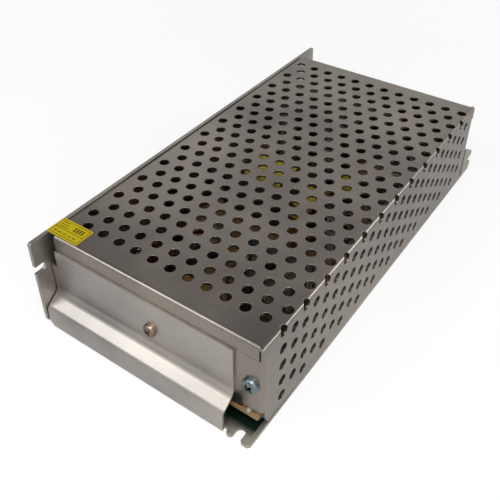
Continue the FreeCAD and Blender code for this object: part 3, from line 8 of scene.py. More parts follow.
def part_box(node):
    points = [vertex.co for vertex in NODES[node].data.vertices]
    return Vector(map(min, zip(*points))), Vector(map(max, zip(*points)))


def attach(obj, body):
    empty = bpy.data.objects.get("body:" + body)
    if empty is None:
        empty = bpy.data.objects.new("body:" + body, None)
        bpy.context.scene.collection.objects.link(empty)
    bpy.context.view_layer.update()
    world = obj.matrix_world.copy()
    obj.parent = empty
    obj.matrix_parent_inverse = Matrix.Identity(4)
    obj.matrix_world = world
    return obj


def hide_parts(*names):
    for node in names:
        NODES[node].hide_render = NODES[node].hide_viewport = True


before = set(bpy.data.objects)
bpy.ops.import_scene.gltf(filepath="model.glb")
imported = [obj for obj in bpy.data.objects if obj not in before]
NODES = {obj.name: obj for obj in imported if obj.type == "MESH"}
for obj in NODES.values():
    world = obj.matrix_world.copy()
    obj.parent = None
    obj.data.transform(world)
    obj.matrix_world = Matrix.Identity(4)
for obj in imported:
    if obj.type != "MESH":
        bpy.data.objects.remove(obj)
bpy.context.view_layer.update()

bl_info = {
    "name": "Mesh Case Power Supply",
    "version": (1, 0, 0),
    "blender": (4, 5, 0),
    "location": "View3D > Sidebar > Power Supply",
    "description": "Finishes a power supply in a perforated sheet metal case and sets up its studio",
    "category": "Object",
}

CASE = "case"
MM = 0.001
WELD = 1e-7
CAD_WELD = 1e-6


# Settings that a user would change.


def colour_setting(name, description, default):
    return bpy.props.FloatVectorProperty(name=name, description=description, default=default,
                                         size=3, min=0.0, max=1.0, subtype="COLOR")


def length_setting(name, description, default):
    return bpy.props.FloatProperty(name=name, description=description, default=default,
                                   min=0.0, unit="LENGTH", subtype="DISTANCE")


def share_setting(name, description, default):
    return bpy.props.FloatProperty(name=name, description=description, default=default,
                                   min=0.0, max=1.0, subtype="FACTOR")


def count_setting(name, description, default, low, high):
    return bpy.props.IntProperty(name=name, description=description, default=default, min=low, max=high)


class SheetSettings(bpy.types.PropertyGroup):
    cover_colour: colour_setting("Cover", "Satin steel of the perforated cover", (0.335, 0.303, 0.272))
    hood_colour: colour_setting("Hood", "Satin steel of the terminal hood", (0.465, 0.439, 0.412))
    chassis_colour: colour_setting("Chassis", "Zinc coated steel of the base and the wall",
                                   (0.46, 0.435, 0.400))
    cover_roughness: share_setting("Cover roughness", "How satin the cover is", 0.27)
    hood_roughness: share_setting("Hood roughness", "How satin the hood is", 0.31)
    chassis_roughness: share_setting("Chassis roughness", "How satin the chassis is", 0.40)
    punched_rim: length_setting("Punched rim", "Softened edge round the holes", 0.30 * MM)
    rim: length_setting("Worn rim", "Softened edge of the folded sheets", 0.20 * MM)
    grain: length_setting("Grain depth", "Depth of the rolled grain", 0.004 * MM)
    # Painted shadow: height of the near-black strip painted along the foot of the cover's side.
    seam: length_setting("Seam", "Dark joint under the cover's side", 0.8 * MM)


class ScrewSettings(bpy.types.PropertyGroup):
    nickel_colour: colour_setting("Nickel", "Plating of the hood, side and terminal screws",
                                  (0.35, 0.270, 0.205))
    zinc_colour: colour_setting("Zinc", "Plating of the other screws, the angles, the nut and the posts",
                                (0.23, 0.28, 0.295))
    recess_depth: share_setting("Recess depth", "Cross recess, as a share of the head's height", 0.80)
    recess_reach: share_setting("Recess reach", "Cross recess, as a share of the head's radius", 0.76)
    segments: count_setting("Segments", "Faces round a head", 40, 12, 96)


class LabelSettings(bpy.types.PropertyGroup):
    film_colour: colour_setting("Film", "Yellow of the sealing label", (0.415, 0.325, 0.003))
    print_colour: colour_setting("Print", "Border and bars on the label", (0.075, 0.045, 0.008))
    margin: length_setting("Margin", "Film outside the border line", 0.7 * MM)
    line: length_setting("Line", "Width of the printed lines", 0.26 * MM)
    setback: length_setting("Setback", "From the front of the cover's fold to the label", 1.1 * MM)
    corner: length_setting("Corner", "Rounding of the label's corners", 0.4 * MM)


class CircuitSettings(bpy.types.PropertyGroup):
    laminate_colour: colour_setting("Laminate", "Bare side of the board", (0.30, 0.175, 0.075))
    mask_colour: colour_setting("Solder mask", "Copper side of the board", (0.003, 0.060, 0.030))
    copper_colour: colour_setting("Winding wire", "Enamelled copper", (0.24, 0.085, 0.035))
    tape_colour: colour_setting("Tape", "Film round the transformers", (0.58, 0.45, 0.05))
    moulding_colour: colour_setting("Moulding", "Black plastic of strips and bobbins", (0.014, 0.013, 0.013))
    choke_turns: count_setting("Choke turns", "Turns in each half of the choke", 9, 3, 12)
    coil_turns: count_setting("Inductor turns", "Turns on the output inductor", 28, 6, 32)
    segments: count_setting("Segments", "Faces round a can or a disc", 40, 12, 96)


class StageSettings(bpy.types.PropertyGroup):
    camera_place: bpy.props.FloatVectorProperty(
        name="Camera", description="Where the camera stands", size=3, subtype="XYZ", unit="LENGTH",
        default=(0.12459, -0.20756, 0.20649))
    camera_turn: bpy.props.FloatProperty(name="Turn", description="Camera's bearing from the terminal end",
                                         subtype="ANGLE", unit="ROTATION", default=math.radians(34.92))
    camera_dip: bpy.props.FloatProperty(name="Dip", description="How far the camera looks down",
                                        subtype="ANGLE", unit="ROTATION", default=math.radians(36.81))
    lens: bpy.props.FloatProperty(name="Lens", description="Focal length", subtype="DISTANCE_CAMERA",
                                  default=49.51)
    shift: bpy.props.FloatProperty(name="Shift", description="Upward shift of the picture", default=-0.12)
    floor_colour: colour_setting("Floor", "Pale floor", (0.58, 0.58, 0.58))


# Materials: node trees built from a few short steps.


class NodeTree:
    """A node tree under construction, with short ways to add and join its nodes."""

    def __init__(self, tree, coordinates):
        self.tree = tree
        self.place = self.add("ShaderNodeTexCoord").outputs[coordinates]

    def add(self, kind, **settings):
        node = self.tree.nodes.new(kind)
        for key, value in settings.items():
            setattr(node, key, value)
        return node

    def join(self, source, target):
        self.tree.links.new(source, target)

    def axes(self, source=None):
        node = self.add("ShaderNodeSeparateXYZ")
        self.join(source or self.place, node.inputs["Vector"])
        return node.outputs["X"], node.outputs["Y"], node.outputs["Z"]

    def remap(self, value, low, high, to_low, to_high, **settings):
        node = self.add("ShaderNodeMapRange", **settings)
        for name, number in (("From Min", low), ("From Max", high), ("To Min", to_low), ("To Max", to_high)):
            node.inputs[name].default_value = number
        self.join(value, node.inputs["Value"])
        return node.outputs["Result"]

    def math(self, operation, a, b=None):
        node = self.add("ShaderNodeMath", operation=operation)
        for socket, value in zip(node.inputs, (a, b)):
            if isinstance(value, (int, float)):
                socket.default_value = value
            elif value is not None:
                self.join(value, socket)
        return node.outputs["Value"]

    def band(self, axis, start, end):
        """One between two values of an axis, nought outside them."""
        above = self.math("GREATER_THAN", axis, start)
        return self.math("MULTIPLY", above, self.math("LESS_THAN", axis, end))


class Recipe(NodeTree):
    """A material under construction, on Object coordinates."""

    def __init__(self, name):
        self.material = bpy.data.materials.new(name)
        self.material.use_nodes = True
        super().__init__(self.material.node_tree, "Object")
        self.shader = self.tree.nodes["Principled BSDF"]

    def finish(self, **sockets):
        """Constants on the shader's own sockets."""
        for name, value in sockets.items():
            socket = self.shader.inputs[name.replace("_", " ")]
            socket.default_value = (*value, 1.0) if hasattr(value, "__len__") else value
        return self

    def stretched(self, scale):
        mapping = self.add("ShaderNodeMapping")
        mapping.inputs["Scale"].default_value = scale
        self.join(self.place, mapping.inputs["Vector"])
        return mapping.outputs["Vector"]

    def noise(self, scale, detail=3.0, stretch=None):
        node = self.add("ShaderNodeTexNoise")
        node.inputs["Scale"].default_value = scale
        node.inputs["Detail"].default_value = detail
        self.join(self.stretched(stretch) if stretch else self.place, node.inputs["Vector"])
        return node.outputs["Fac"]

    def blend(self, factor, a, b):
        """A colour between two others, each a colour or a socket."""
        node = self.add("ShaderNodeMix", data_type="RGBA")
        self.join(factor, node.inputs["Factor"])
        for socket, value in ((node.inputs[6], a), (node.inputs[7], b)):
            if hasattr(value, "is_output"):
                self.join(value, socket)
            else:
                socket.default_value = (*value, 1.0)
        return node.outputs[2]

    def colour(self, source):
        self.join(source, self.shader.inputs["Base Color"])

    def rough(self, source):
        self.join(source, self.shader.inputs["Roughness"])

    def bump(self, height, depth, under=None):
        """Relief of a real depth in metres, laid over another normal where one is given."""
        node = self.add("ShaderNodeBump")
        node.inputs["Strength"].default_value = 1.0
        node.inputs["Distance"].default_value = depth
        self.join(height, node.inputs["Height"])
        if under is not None:
            self.join(under, node.inputs["Normal"])
        self.join(node.outputs["Normal"], self.shader.inputs["Normal"])
        return node.outputs["Normal"]

    def soft_edges(self, radius):
        node = self.add("ShaderNodeBevel", samples=4)
        node.inputs["Radius"].default_value = radius
        self.join(node.outputs["Normal"], self.shader.inputs["Normal"])
        return node.outputs["Normal"]

    def wrap(self):
        """Turn and height on a turned piece's wall, or the two ways across its end, from its own UV map."""
        return self.axes(self.add("ShaderNodeUVMap", uv_map="turned").outputs["UV"])[:2]


def shade(colour, factor):
    return tuple(min(1.0, c * factor) for c in colour)


def dress(material, *nodes):
    """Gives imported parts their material."""
    for name in nodes:
        slots = NODES[name].data.materials
        slots.clear()
        slots.append(material)


ROLLED_ALONG = (1.0, 0.06, 1.0)
ROLLED_ACROSS = (0.06, 1.0, 1.0)


def sheet_metal(name, colour, roughness, rim, grain, rolled, shadow=None, tint=(0.0, 0.0, 0.0)):
    """Satin sheet: rolled grain along one axis, cloudy tone, handling marks and softened edges, with painted
    shade in the tint where a mask is given.
    """
    r = Recipe(name)
    cloud = r.noise(26.0, detail=4.0)
    smudge = r.noise(95.0, detail=2.0)
    fine = r.noise(900.0, detail=3.0, stretch=rolled)
    speck = r.noise(2400.0, detail=2.0)
    cool, warm = shade(colour, 0.76), tuple(c * f for c, f in zip(colour, (1.20, 1.17, 1.14)))
    tone = r.blend(r.remap(cloud, 0.32, 0.68, 0.0, 1.0), cool, warm)
    streaked = r.blend(r.remap(fine, 0.35, 0.65, 0.0, 0.24), tone, shade(colour, 0.80))
    mottled = r.blend(r.remap(speck, 0.52, 0.70, 0.0, 0.30), streaked, shade(colour, 0.70))
    spots = r.remap(smudge, 0.58, 0.74, 0.0, 0.34)
    marked = r.blend(spots, mottled, shade(colour, 0.68))
    # Painted shade: the mask darkens the colour towards the tint.
    r.colour(r.blend(shadow(r), marked, tint) if shadow else marked)
    r.rough(r.remap(cloud, 0.30, 0.70, roughness + 0.01, roughness + 0.07))
    r.bump(fine, grain, under=r.soft_edges(rim))
    return r.finish(Metallic=1.0).material


def plated(name, colour, roughness, rim=0.0):
    """Bright plating with faint stains."""
    r = Recipe(name)
    stain = r.noise(420.0, detail=4.0)
    r.colour(r.blend(r.remap(stain, 0.35, 0.7, 0.0, 1.0), colour, shade(colour, 0.70)))
    r.rough(r.remap(stain, 0.3, 0.7, roughness, roughness + 0.14))
    r.bump(r.noise(2600.0), 0.004 * MM, under=r.soft_edges(rim) if rim else None)
    return r.finish(Metallic=1.0).material


def moulded(name, colour, roughness, rim=0.14 * MM):
    """Moulded or cast plastic with a fine texture and eased edges."""
    r = Recipe(name)
    cloud = r.noise(160.0, detail=3.0)
    dust = r.remap(r.noise(700.0, detail=5.0), 0.55, 0.75, 0.0, 0.10)
    body = r.blend(cloud, shade(colour, 0.80), shade(colour, 1.25))
    r.colour(r.blend(dust, body, (0.30, 0.28, 0.25)))
    r.rough(r.remap(cloud, 0.3, 0.7, roughness, roughness + 0.10))
    r.bump(r.noise(3800.0, detail=2.0), 0.012 * MM, under=r.soft_edges(rim))
    return r.material


def sleeved(name, colour, stripe):
    """Shrink sleeve of a can, with a pale stripe down its negative side and short bars on the stripe."""
    r = Recipe(name)
    turn, height = r.wrap()
    bar_count = 4.0
    cloud = r.noise(240.0)
    body = r.blend(cloud, shade(colour, 0.85), shade(colour, 1.2))
    side = r.band(turn, -0.32, -0.18)
    step = r.math("FRACT", r.math("MULTIPLY", height, bar_count))
    bars = r.math("MULTIPLY", r.band(turn, -0.28, -0.22), r.band(step, 0.46, 0.56))
    marked = r.blend(side, body, stripe)
    r.colour(r.blend(bars, marked, shade(colour, 0.6)))
    r.rough(r.remap(cloud, 0.3, 0.7, 0.20, 0.34))
    r.bump(r.noise(520.0, detail=2.0), 0.02 * MM)
    return r.finish(Coat_Weight=0.25, Coat_Roughness=0.12).material


def scored(name, colour):
    """Bare top of a can with its pressed vent cross."""
    r = Recipe(name)
    across, along = r.wrap()
    half_width, reach_squared = 0.035, 0.42
    cut = r.math("MAXIMUM", r.band(across, -half_width, half_width), r.band(along, -half_width, half_width))
    squares = r.math("ADD", r.math("MULTIPLY", across, across), r.math("MULTIPLY", along, along))
    cross = r.math("MULTIPLY", cut, r.math("LESS_THAN", squares, reach_squared))
    grain = r.noise(900.0, detail=2.0)
    # Painted shade: the vent cross is drawn darker than the top, for the shade in its groove.
    r.colour(r.blend(cross, r.blend(grain, shade(colour, 0.82), colour), shade(colour, 0.35)))
    r.rough(r.remap(grain, 0.3, 0.7, 0.28, 0.40))
    r.bump(r.math("SUBTRACT", r.math("MULTIPLY", grain, 0.06), cross), 0.18 * MM)
    return r.finish(Metallic=1.0).material


def banded(name, colour, bands):
    """Lacquered resistor body with its colour rings."""
    r = Recipe(name)
    height = r.wrap()[1]
    ring_width = 0.075
    cloud = r.noise(900.0)
    paint = r.blend(cloud, shade(colour, 0.9), shade(colour, 1.15))
    for start, ring in bands:
        paint = r.blend(r.band(height, start, start + ring_width), paint, ring)
    r.colour(paint)
    r.rough(r.remap(cloud, 0.3, 0.7, 0.26, 0.36))
    r.bump(cloud, 0.01 * MM)
    return r.material


# Shapes. A profile holds shares of a radius and of a height.


PAN_CROWN = ((0.0, 0.0), (0.42, 0.03), (0.68, 0.11), (0.84, 0.24), (0.94, 0.43), (0.99, 0.66), (1.0, 0.84),
             (0.985, 1.0))
SUNK_CROWN = ((0.0, 0.0), (0.86, 0.0), (0.97, 0.06), (0.97, 0.14))
DISC_LENS = ((0.0, -1.0), (0.45, -0.97), (0.72, -0.82), (0.90, -0.55), (0.98, -0.25), (1.0, 0.0),
             (0.98, 0.25), (0.90, 0.55), (0.72, 0.82), (0.45, 0.97), (0.0, 1.0))
RUN_DOWN = ((0.0, 0.0), (0.5, 0.1), (0.75, 0.9), (0.95, 1.9), (0.0, 2.0))
RESISTOR_BODY = ((0.0, 0.0), (0.55, 0.04), (0.88, 0.14), (1.0, 0.30), (0.97, 0.44), (0.84, 0.56),
                 (0.84, 1.44), (0.97, 1.56), (1.0, 1.70), (0.88, 1.86), (0.55, 1.96), (0.0, 2.0))


def scaled(profile, radius, height):
    return [(across * radius, up * height) for across, up in profile]


def shown(name, mesh_maker, materials, body, replaced):
    """A finished piece: its mesh, its materials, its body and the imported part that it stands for."""
    bm = bmesh.new()
    mesh_maker(bm)
    bmesh.ops.remove_doubles(bm, verts=bm.verts, dist=WELD)
    bmesh.ops.recalc_face_normals(bm, faces=bm.faces)
    mesh = bpy.data.meshes.new(name)
    bm.to_mesh(mesh)
    bm.free()
    for material in materials:
        mesh.materials.append(material)
    piece = bpy.data.objects.new(name, mesh)
    bpy.context.scene.collection.objects.link(piece)
    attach(piece, body)
    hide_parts(replaced)
    return piece


def smooth(piece, angle=math.radians(32)):
    """Rounds stay smooth and edges stay crisp."""
    for polygon in piece.data.polygons:
        polygon.use_smooth = True
    bm = bmesh.new()
    bm.from_mesh(piece.data)
    for edge in bm.edges:
        edge.smooth = len(edge.link_faces) == 2 and edge.calc_face_angle(0.0) < angle
    bm.to_mesh(piece.data)
    bm.free()


def solids(node):
    """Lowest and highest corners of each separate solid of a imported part."""
    bm = bmesh.new()
    bm.from_mesh(NODES[node].data)
    bmesh.ops.remove_doubles(bm, verts=bm.verts, dist=CAD_WELD)
    left, boxes = set(bm.verts), []
    while left:
        stack = [left.pop()]
        low, high = Vector(stack[0].co), Vector(stack[0].co)
        while stack:
            vert = stack.pop()
            low = Vector(map(min, low, vert.co))
            high = Vector(map(max, high, vert.co))
            for edge in vert.link_edges:
                other = edge.other_vert(vert)
                if other in left:
                    left.remove(other)
                    stack.append(other)
        boxes.append((low, high))
    bm.free()
    return sorted(boxes, key=lambda box: tuple(round(c, 5) for c in box[0]))


def put(bm, part, place, material):
    """Sets a part in place, gives it its material and adds it to a piece."""
    for face in part.faces:
        face.material_index = material
    bmesh.ops.transform(part, matrix=place, verts=part.verts)
    mesh = bpy.data.meshes.new("part")
    part.to_mesh(mesh)
    part.free()
    bm.from_mesh(mesh)
    bpy.data.meshes.remove(mesh)


def turned(bm, profile, place, segments, material=0):
    """Turns a profile of (radius, height) about the Z axis, unrolls its UV map, and sets it in place."""
    part = bmesh.new()
    verts = [part.verts.new((radius, 0.0, height)) for radius, height in profile]
    edges = [part.edges.new(pair) for pair in zip(verts, verts[1:])]
    bmesh.ops.spin(part, geom=verts + edges, cent=(0, 0, 0), axis=(0, 0, 1), dvec=(0, 0, 0),
                   angle=math.tau, steps=segments, use_merge=True, use_duplicate=False)
    bmesh.ops.remove_doubles(part, verts=part.verts, dist=WELD)
    bmesh.ops.recalc_face_normals(part, faces=part.faces)
    layer = part.loops.layers.uv.new("turned")
    reach = max(radius for radius, height in profile)
    low = min(height for radius, height in profile)
    tall = max(height for radius, height in profile) - low or 1.0
    for face in part.faces:
        face.normal_update()
        level = abs(face.normal.z) > 0.9
        middle = face.calc_center_median()
        bearing = math.atan2(middle.y, middle.x)
        for loop in face.loops:
            x, y, z = loop.vert.co
            if level:
                loop[layer].uv = (x / reach, y / reach)
            else:
                offset = (math.atan2(y, x) - bearing + math.pi) % math.tau - math.pi
                loop[layer].uv = ((bearing + offset) / math.tau, (z - low) / tall)
    put(bm, part, place, material)


def facing(axis, at):
    """A place whose Z axis points along the one given."""
    return Matrix.Translation(at) @ Vector(axis).to_track_quat("Z", "Y").to_matrix().to_4x4()


def rod(bm, start, end, radius, material):
    """A short straight wire with eased ends."""
    way = Vector(end) - Vector(start)
    ease, segments = 0.25 * radius, 10
    profile = [(0.0, 0.0), (radius - ease, 0.0), (radius, ease), (radius, way.length - ease),
               (radius - ease, way.length), (0.0, way.length)]
    turned(bm, profile, facing(way, start), segments, material)


def cut_recesses(piece, places, radius, depth, reach):
    """Sinks tapered cross recesses into heads whose crowns lie at the places given."""
    bm = bmesh.new()
    arm, width = radius * reach, radius * 0.19
    floor_length, floor_width = 0.42, 0.70
    first_turn, next_turn = 0.8, 1.3
    for count, place in enumerate(places):
        for turn in (0.0, math.pi / 2):
            part = bmesh.new()
            bmesh.ops.create_cube(part, size=1.0)
            bmesh.ops.scale(part, vec=(2 * arm, 2 * width, 2 * depth), verts=part.verts)
            for vert in part.verts:
                if vert.co.z < 0:
                    vert.co.x *= floor_length
                    vert.co.y *= floor_width
            spun = Matrix.Rotation(turn + first_turn + next_turn * count, 4, "Z")
            # Material index 1 is the darker copy of the plating: painted shade in the recess.
            put(bm, part, place @ spun, 1)
    mesh = bpy.data.meshes.new("recess")
    bm.to_mesh(mesh)
    bm.free()
    for material in piece.data.materials:
        mesh.materials.append(material)
    tool = bpy.data.objects.new("recess", mesh)
    bpy.context.scene.collection.objects.link(tool)
    cut = piece.modifiers.new("recess", "BOOLEAN")
    cut.operation = "DIFFERENCE"
    cut.solver = "EXACT"
    cut.use_self = True
    cut.object = tool
    bpy.context.view_layer.update()
    done = bpy.data.meshes.new_from_object(piece.evaluated_get(bpy.context.evaluated_depsgraph_get()))
    piece.modifiers.clear()
    piece.data = done
    bpy.data.objects.remove(tool)


def screw_piece(node, outward, head, rise, materials, settings, sunk=False):
    """Crowned heads with a cross recess and their shanks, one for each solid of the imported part."""
    places = []

    def build(bm):
        for low, high in solids(node):
            middle = (low + high) / 2
            out = Vector(outward(middle))
            axis = max(range(3), key=lambda k: abs(out[k]))
            at = middle.copy()
            at[axis] = high[axis] if out[axis] > 0 else low[axis]
            length = (high - low)[axis]
            shank, tip = 0.55 * head, 0.3 * MM
            crown = scaled(SUNK_CROWN if sunk else PAN_CROWN, head, -rise)
            end = [(shank, -rise), (shank, -length + tip), (shank - tip, -length), (0.0, -length)]
            place = facing(out, at)
            turned(bm, crown + end, place, settings.segments)
            places.append(place)

    piece = shown(node + "_turned", build, materials, CASE, replaced=node)
    cut_recesses(piece, places, head, rise * settings.recess_depth, settings.recess_reach)
    smooth(piece)


def can_piece(node, sleeve, top, segments):
    """Can capacitors: rolled groove, shrink sleeve folded over the shoulder, and a bare scored top."""
    def build(bm):
        for low, high in solids(node):
            middle = (low + high) / 2
            r, h = (high.x - low.x) / 2, high.z - low.z
            groove, fold = 0.05 * r, min(0.3 * MM, 0.06 * r)
            place = Matrix.Translation((middle.x, middle.y, low.z))
            foot = [(0.0, 0.0), (r - fold, 0.0), (r, fold)]
            rolled = [(r, 0.055 * h), (r - 0.6 * groove, 0.072 * h), (r - groove, 0.085 * h),
                      (r - 0.6 * groove, 0.098 * h), (r, 0.115 * h)]
            shoulder = [(r, h - 2.4 * groove), (r - 0.3 * groove, h - 0.9 * groove),
                        (r - groove, h - 0.2 * groove), (r - 1.6 * groove, h)]
            lip = [(0.84 * r, h), (0.815 * r, h - 0.35 * groove), (0.80 * r, h - groove)]
            bare = [(0.80 * r, h - groove), (0.72 * r, h - groove), (0.0, h - groove)]
            turned(bm, foot + rolled + shoulder + lip, place, segments)
            turned(bm, bare, place, segments, 1)

    smooth(shown(node + "_sleeved", build, [sleeve, top], CASE, replaced=node))


def winding_piece(node, core, along, bore, material, halves):
    """Enamelled wire laid turn by turn round a toroid.

    The bore is a share of the core's width. Each half is (first bearing, sweep, turns), in degrees.
    """
    low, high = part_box(core)
    box_low, box_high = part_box(node)
    axis = "XYZ".index(along)
    flat = [k for k in range(3) if k != axis][0]
    outer = (high - low)[flat] / 2
    thick = (high - low)[axis]
    wire = ((box_high - box_low)[axis] - thick) / 2
    inner = bore * outer
    turn_back = Matrix.Rotation(math.pi / 2, 4, "Y") if along == "X" else Matrix.Identity(4)
    place = Matrix.Translation((low + high) / 2) @ turn_back
    near, far, top = inner - wire / 2, outer + wire / 2, thick / 2 + wire / 2
    ease = 0.62 * wire
    ring = [(far, -top + ease), (far, top - ease), (far, top), (far - ease, top), (near + ease, top),
            (near, top), (near, top - ease), (near, -top + ease), (near, -top), (near + ease, -top),
            (far - ease, -top), (far, -top)]
    crossing = 7  # The stop from which a turn steps over to the next one.
    curve = bpy.data.curves.new(node, "CURVE")
    curve.dimensions = "3D"
    curve.bevel_depth = 0.47 * wire
    curve.bevel_resolution = 2
    curve.resolution_u = 2
    curve.use_fill_caps = True
    for first, sweep, turns in halves:
        spline = curve.splines.new("NURBS")
        spline.points.add(turns * len(ring) - 1)
        step = sweep / turns
        for count in range(turns * len(ring)):
            turn, stop = divmod(count, len(ring))
            slip = max(0, stop - crossing) / (len(ring) - crossing) * step
            bearing = math.radians(first + turn * step + slip)
            r, h = ring[stop]
            at = place @ Vector((r * math.cos(bearing), r * math.sin(bearing), h))
            spline.points[count].co = (*at, 1.0)
        spline.order_u = 3
        spline.use_endpoint_u = True
    holder = bpy.data.objects.new(node, curve)
    mesh = bpy.data.meshes.new_from_object(holder)
    bpy.data.objects.remove(holder)

    def build(bm):
        bm.from_mesh(mesh)

    smooth(shown(node + "_wound", build, [material], CASE, replaced=node), math.radians(60))
    bpy.data.meshes.remove(mesh)
    bpy.data.curves.remove(curve)


def disc_piece(node, coat, wire, segments, width):
    """Dipped discs: a lens of lacquer that runs a little way down both leads."""
    lead_place, thin = 2.5 * MM, 0.3 * MM
    run_down = scaled(RUN_DOWN, MM, MM)

    def build(bm):
        for low, high in solids(node):
            middle = (low + high) / 2
            r, half = width / 2, (high.y - low.y) / 2
            centre = Vector((middle.x, middle.y, high.z - r))
            turned(bm, scaled(DISC_LENS, r, half), facing((0, 1, 0), centre), segments)
            for side in (-1, 1):
                x = middle.x + side * lead_place
                foot = Vector((x, middle.y, low.z))
                neck = Vector((x, middle.y, centre.z - 0.93 * r))
                rod(bm, foot, Vector((x, middle.y, centre.z - 0.5 * r)), thin, 1)
                turned(bm, run_down, Matrix.Translation(neck + Vector((0, 0, -0.4 * MM))), 16)

    smooth(shown(node + "_dipped", build, [coat, wire], CASE, replaced=node), math.radians(50))


def resistor_piece(node, lacquer, wire):
    """Bodies with swollen ends and colour rings, and the leads that stand them on the board."""
    half, thin, overlap = 3.25 * MM, 0.3 * MM, 0.2 * MM

    def build(bm):
        for low, high in solids(node):
            middle = (low + high) / 2
            r = (high.y - low.y) / 2
            axis = high.z - r
            start = Vector((middle.x - half, middle.y, axis))
            turned(bm, scaled(RESISTOR_BODY, r, half), facing((1, 0, 0), start), 24)
            for side, end in ((-1, low.x + thin), (1, high.x - thin)):
                rod(bm, (middle.x + side * 0.9 * half, middle.y, axis),
                    (end + side * overlap, middle.y, axis), thin, 1)
                rod(bm, (end, middle.y, axis + overlap), (end, middle.y, low.z), thin, 1)

    smooth(shown(node + "_banded", build, [lacquer, wire], CASE, replaced=node), math.radians(50))


# Operators, one for each group of pieces.


class POWER_OT_sheet_metal(bpy.types.Operator):
    """Finish the chassis, the perforated cover and the hood"""
    bl_idname = "power.sheet_metal"
    bl_label = "Sheet Metal"

    def execute(self, context):
        s = context.scene.power_sheet
        low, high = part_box("mesh_cover")

        def seam(r):
            """Painted shadow of the gap between the cover's side and the base, near the terminal end."""
            x, y, z = r.axes()
            skin, dark = 0.4 * MM, 0.9
            outside = r.math("GREATER_THAN", x, high.x - skin)
            side = r.math("MULTIPLY", outside, r.math("LESS_THAN", z, low.z + s.seam))
            return r.math("MULTIPLY", side, r.remap(y, low.y + 19 * MM, low.y + 22 * MM, dark, 0.0))

        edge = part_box("terminal_hood")[1].z

        def sheared_edge_and_shade(r):
            """Darkens the hood's top edge: the duller sheared edge, and painted shade where the edge meets
            the cover's lip.
            """
            skin, edge_darkening = 0.12 * MM, 0.28
            return r.math("MULTIPLY", r.math("GREATER_THAN", r.axes()[2], edge - skin), edge_darkening)

        def board_shade_and_reflection(r):
            """Painted shade and painted green reflection of the board's underside on the base, under the
            board.
            """
            x, y, z = r.axes()
            left, right, shade_strength = -46.5 * MM, 47.4 * MM, 0.97
            inside = r.math("LESS_THAN", z, low.z + 0.3 * MM)
            flat = r.math("MULTIPLY", inside, r.band(x, left, right))
            under_board = r.math("MULTIPLY", flat, r.remap(y, high.y - 3.0 * MM, high.y - 0.5 * MM, 1.0, 0.0))
            return r.math("MULTIPLY", under_board, r.remap(y, low.y - 5.5 * MM, low.y - 1.5 * MM, 0.0, shade_strength))

        # Painted shadow: near-black line along the foot of the cover's side.
        dress(sheet_metal("satin cover steel", s.cover_colour, s.cover_roughness, s.punched_rim, s.grain,
                          ROLLED_ALONG, seam, (0.012, 0.010, 0.008)), "mesh_cover")
        # Painted shade, with the duller cut edge, in dark grey along the hood's top edge.
        dress(sheet_metal("satin hood steel", s.hood_colour, s.hood_roughness, 0.3 * s.rim, s.grain,
                          ROLLED_ACROSS, sheared_edge_and_shade, (0.060, 0.054, 0.048)), "terminal_hood")
        # Painted shade and painted green reflection of the board on the base under the board.
        dress(sheet_metal("zinc coated steel", s.chassis_colour, s.chassis_roughness, s.rim, s.grain,
                          ROLLED_ALONG, board_shade_and_reflection, (0.010, 0.040, 0.024)), "chassis")
        return {"FINISHED"}


class POWER_OT_screws(bpy.types.Operator):
    """Turn the screws, with their cross recesses, and plate the angles, nut and posts"""
    bl_idname = "power.screws"
    bl_label = "Screws"

    def execute(self, context):
        s = context.scene.power_screw
        nickel = plated("nickel plating", s.nickel_colour, 0.22)
        zinc = plated("zinc plating", s.zinc_colour, 0.24, rim=0.1 * MM)
        # Painted shade: darker copies of the platings for the faces of the cross recesses.
        recess_shade = plated("shaded recess", shade(s.nickel_colour, 0.28), 0.40)
        zinc_recess_shade = plated("shaded zinc recess", shade(s.zinc_colour, 0.30), 0.36)
        screw_piece("hood_screw", lambda at: (0, -1, 0), 2.7 * MM, 2.0 * MM, [nickel, recess_shade], s)
        screw_piece("cover_end_screws", lambda at: (0, math.copysign(1, at.y), 0), 3.2 * MM, 2.2 * MM,
                    [zinc, zinc_recess_shade], s)
        screw_piece("side_screws", lambda at: (-1, 0, 0), 2.6 * MM, 1.2 * MM, [nickel, recess_shade], s, sunk=True)
        screw_piece("board_screws", lambda at: (0, 0, 1), 2.4 * MM, 1.8 * MM, [zinc, zinc_recess_shade], s)
        screw_piece("terminal_screws", lambda at: (0, 0, 1), 2.8 * MM, 2.0 * MM, [nickel, recess_shade], s)
        screw_piece("transistor_screws", lambda at: (0, -1, 0), 2.5 * MM, 1.8 * MM, [zinc, zinc_recess_shade], s)
        screw_piece("rectifier_screws", lambda at: (-1, 0, 0), 2.5 * MM, 1.8 * MM, [zinc, zinc_recess_shade], s)
        dress(zinc, "hood_nut", "end_brackets", "board_posts")
        return {"FINISHED"}


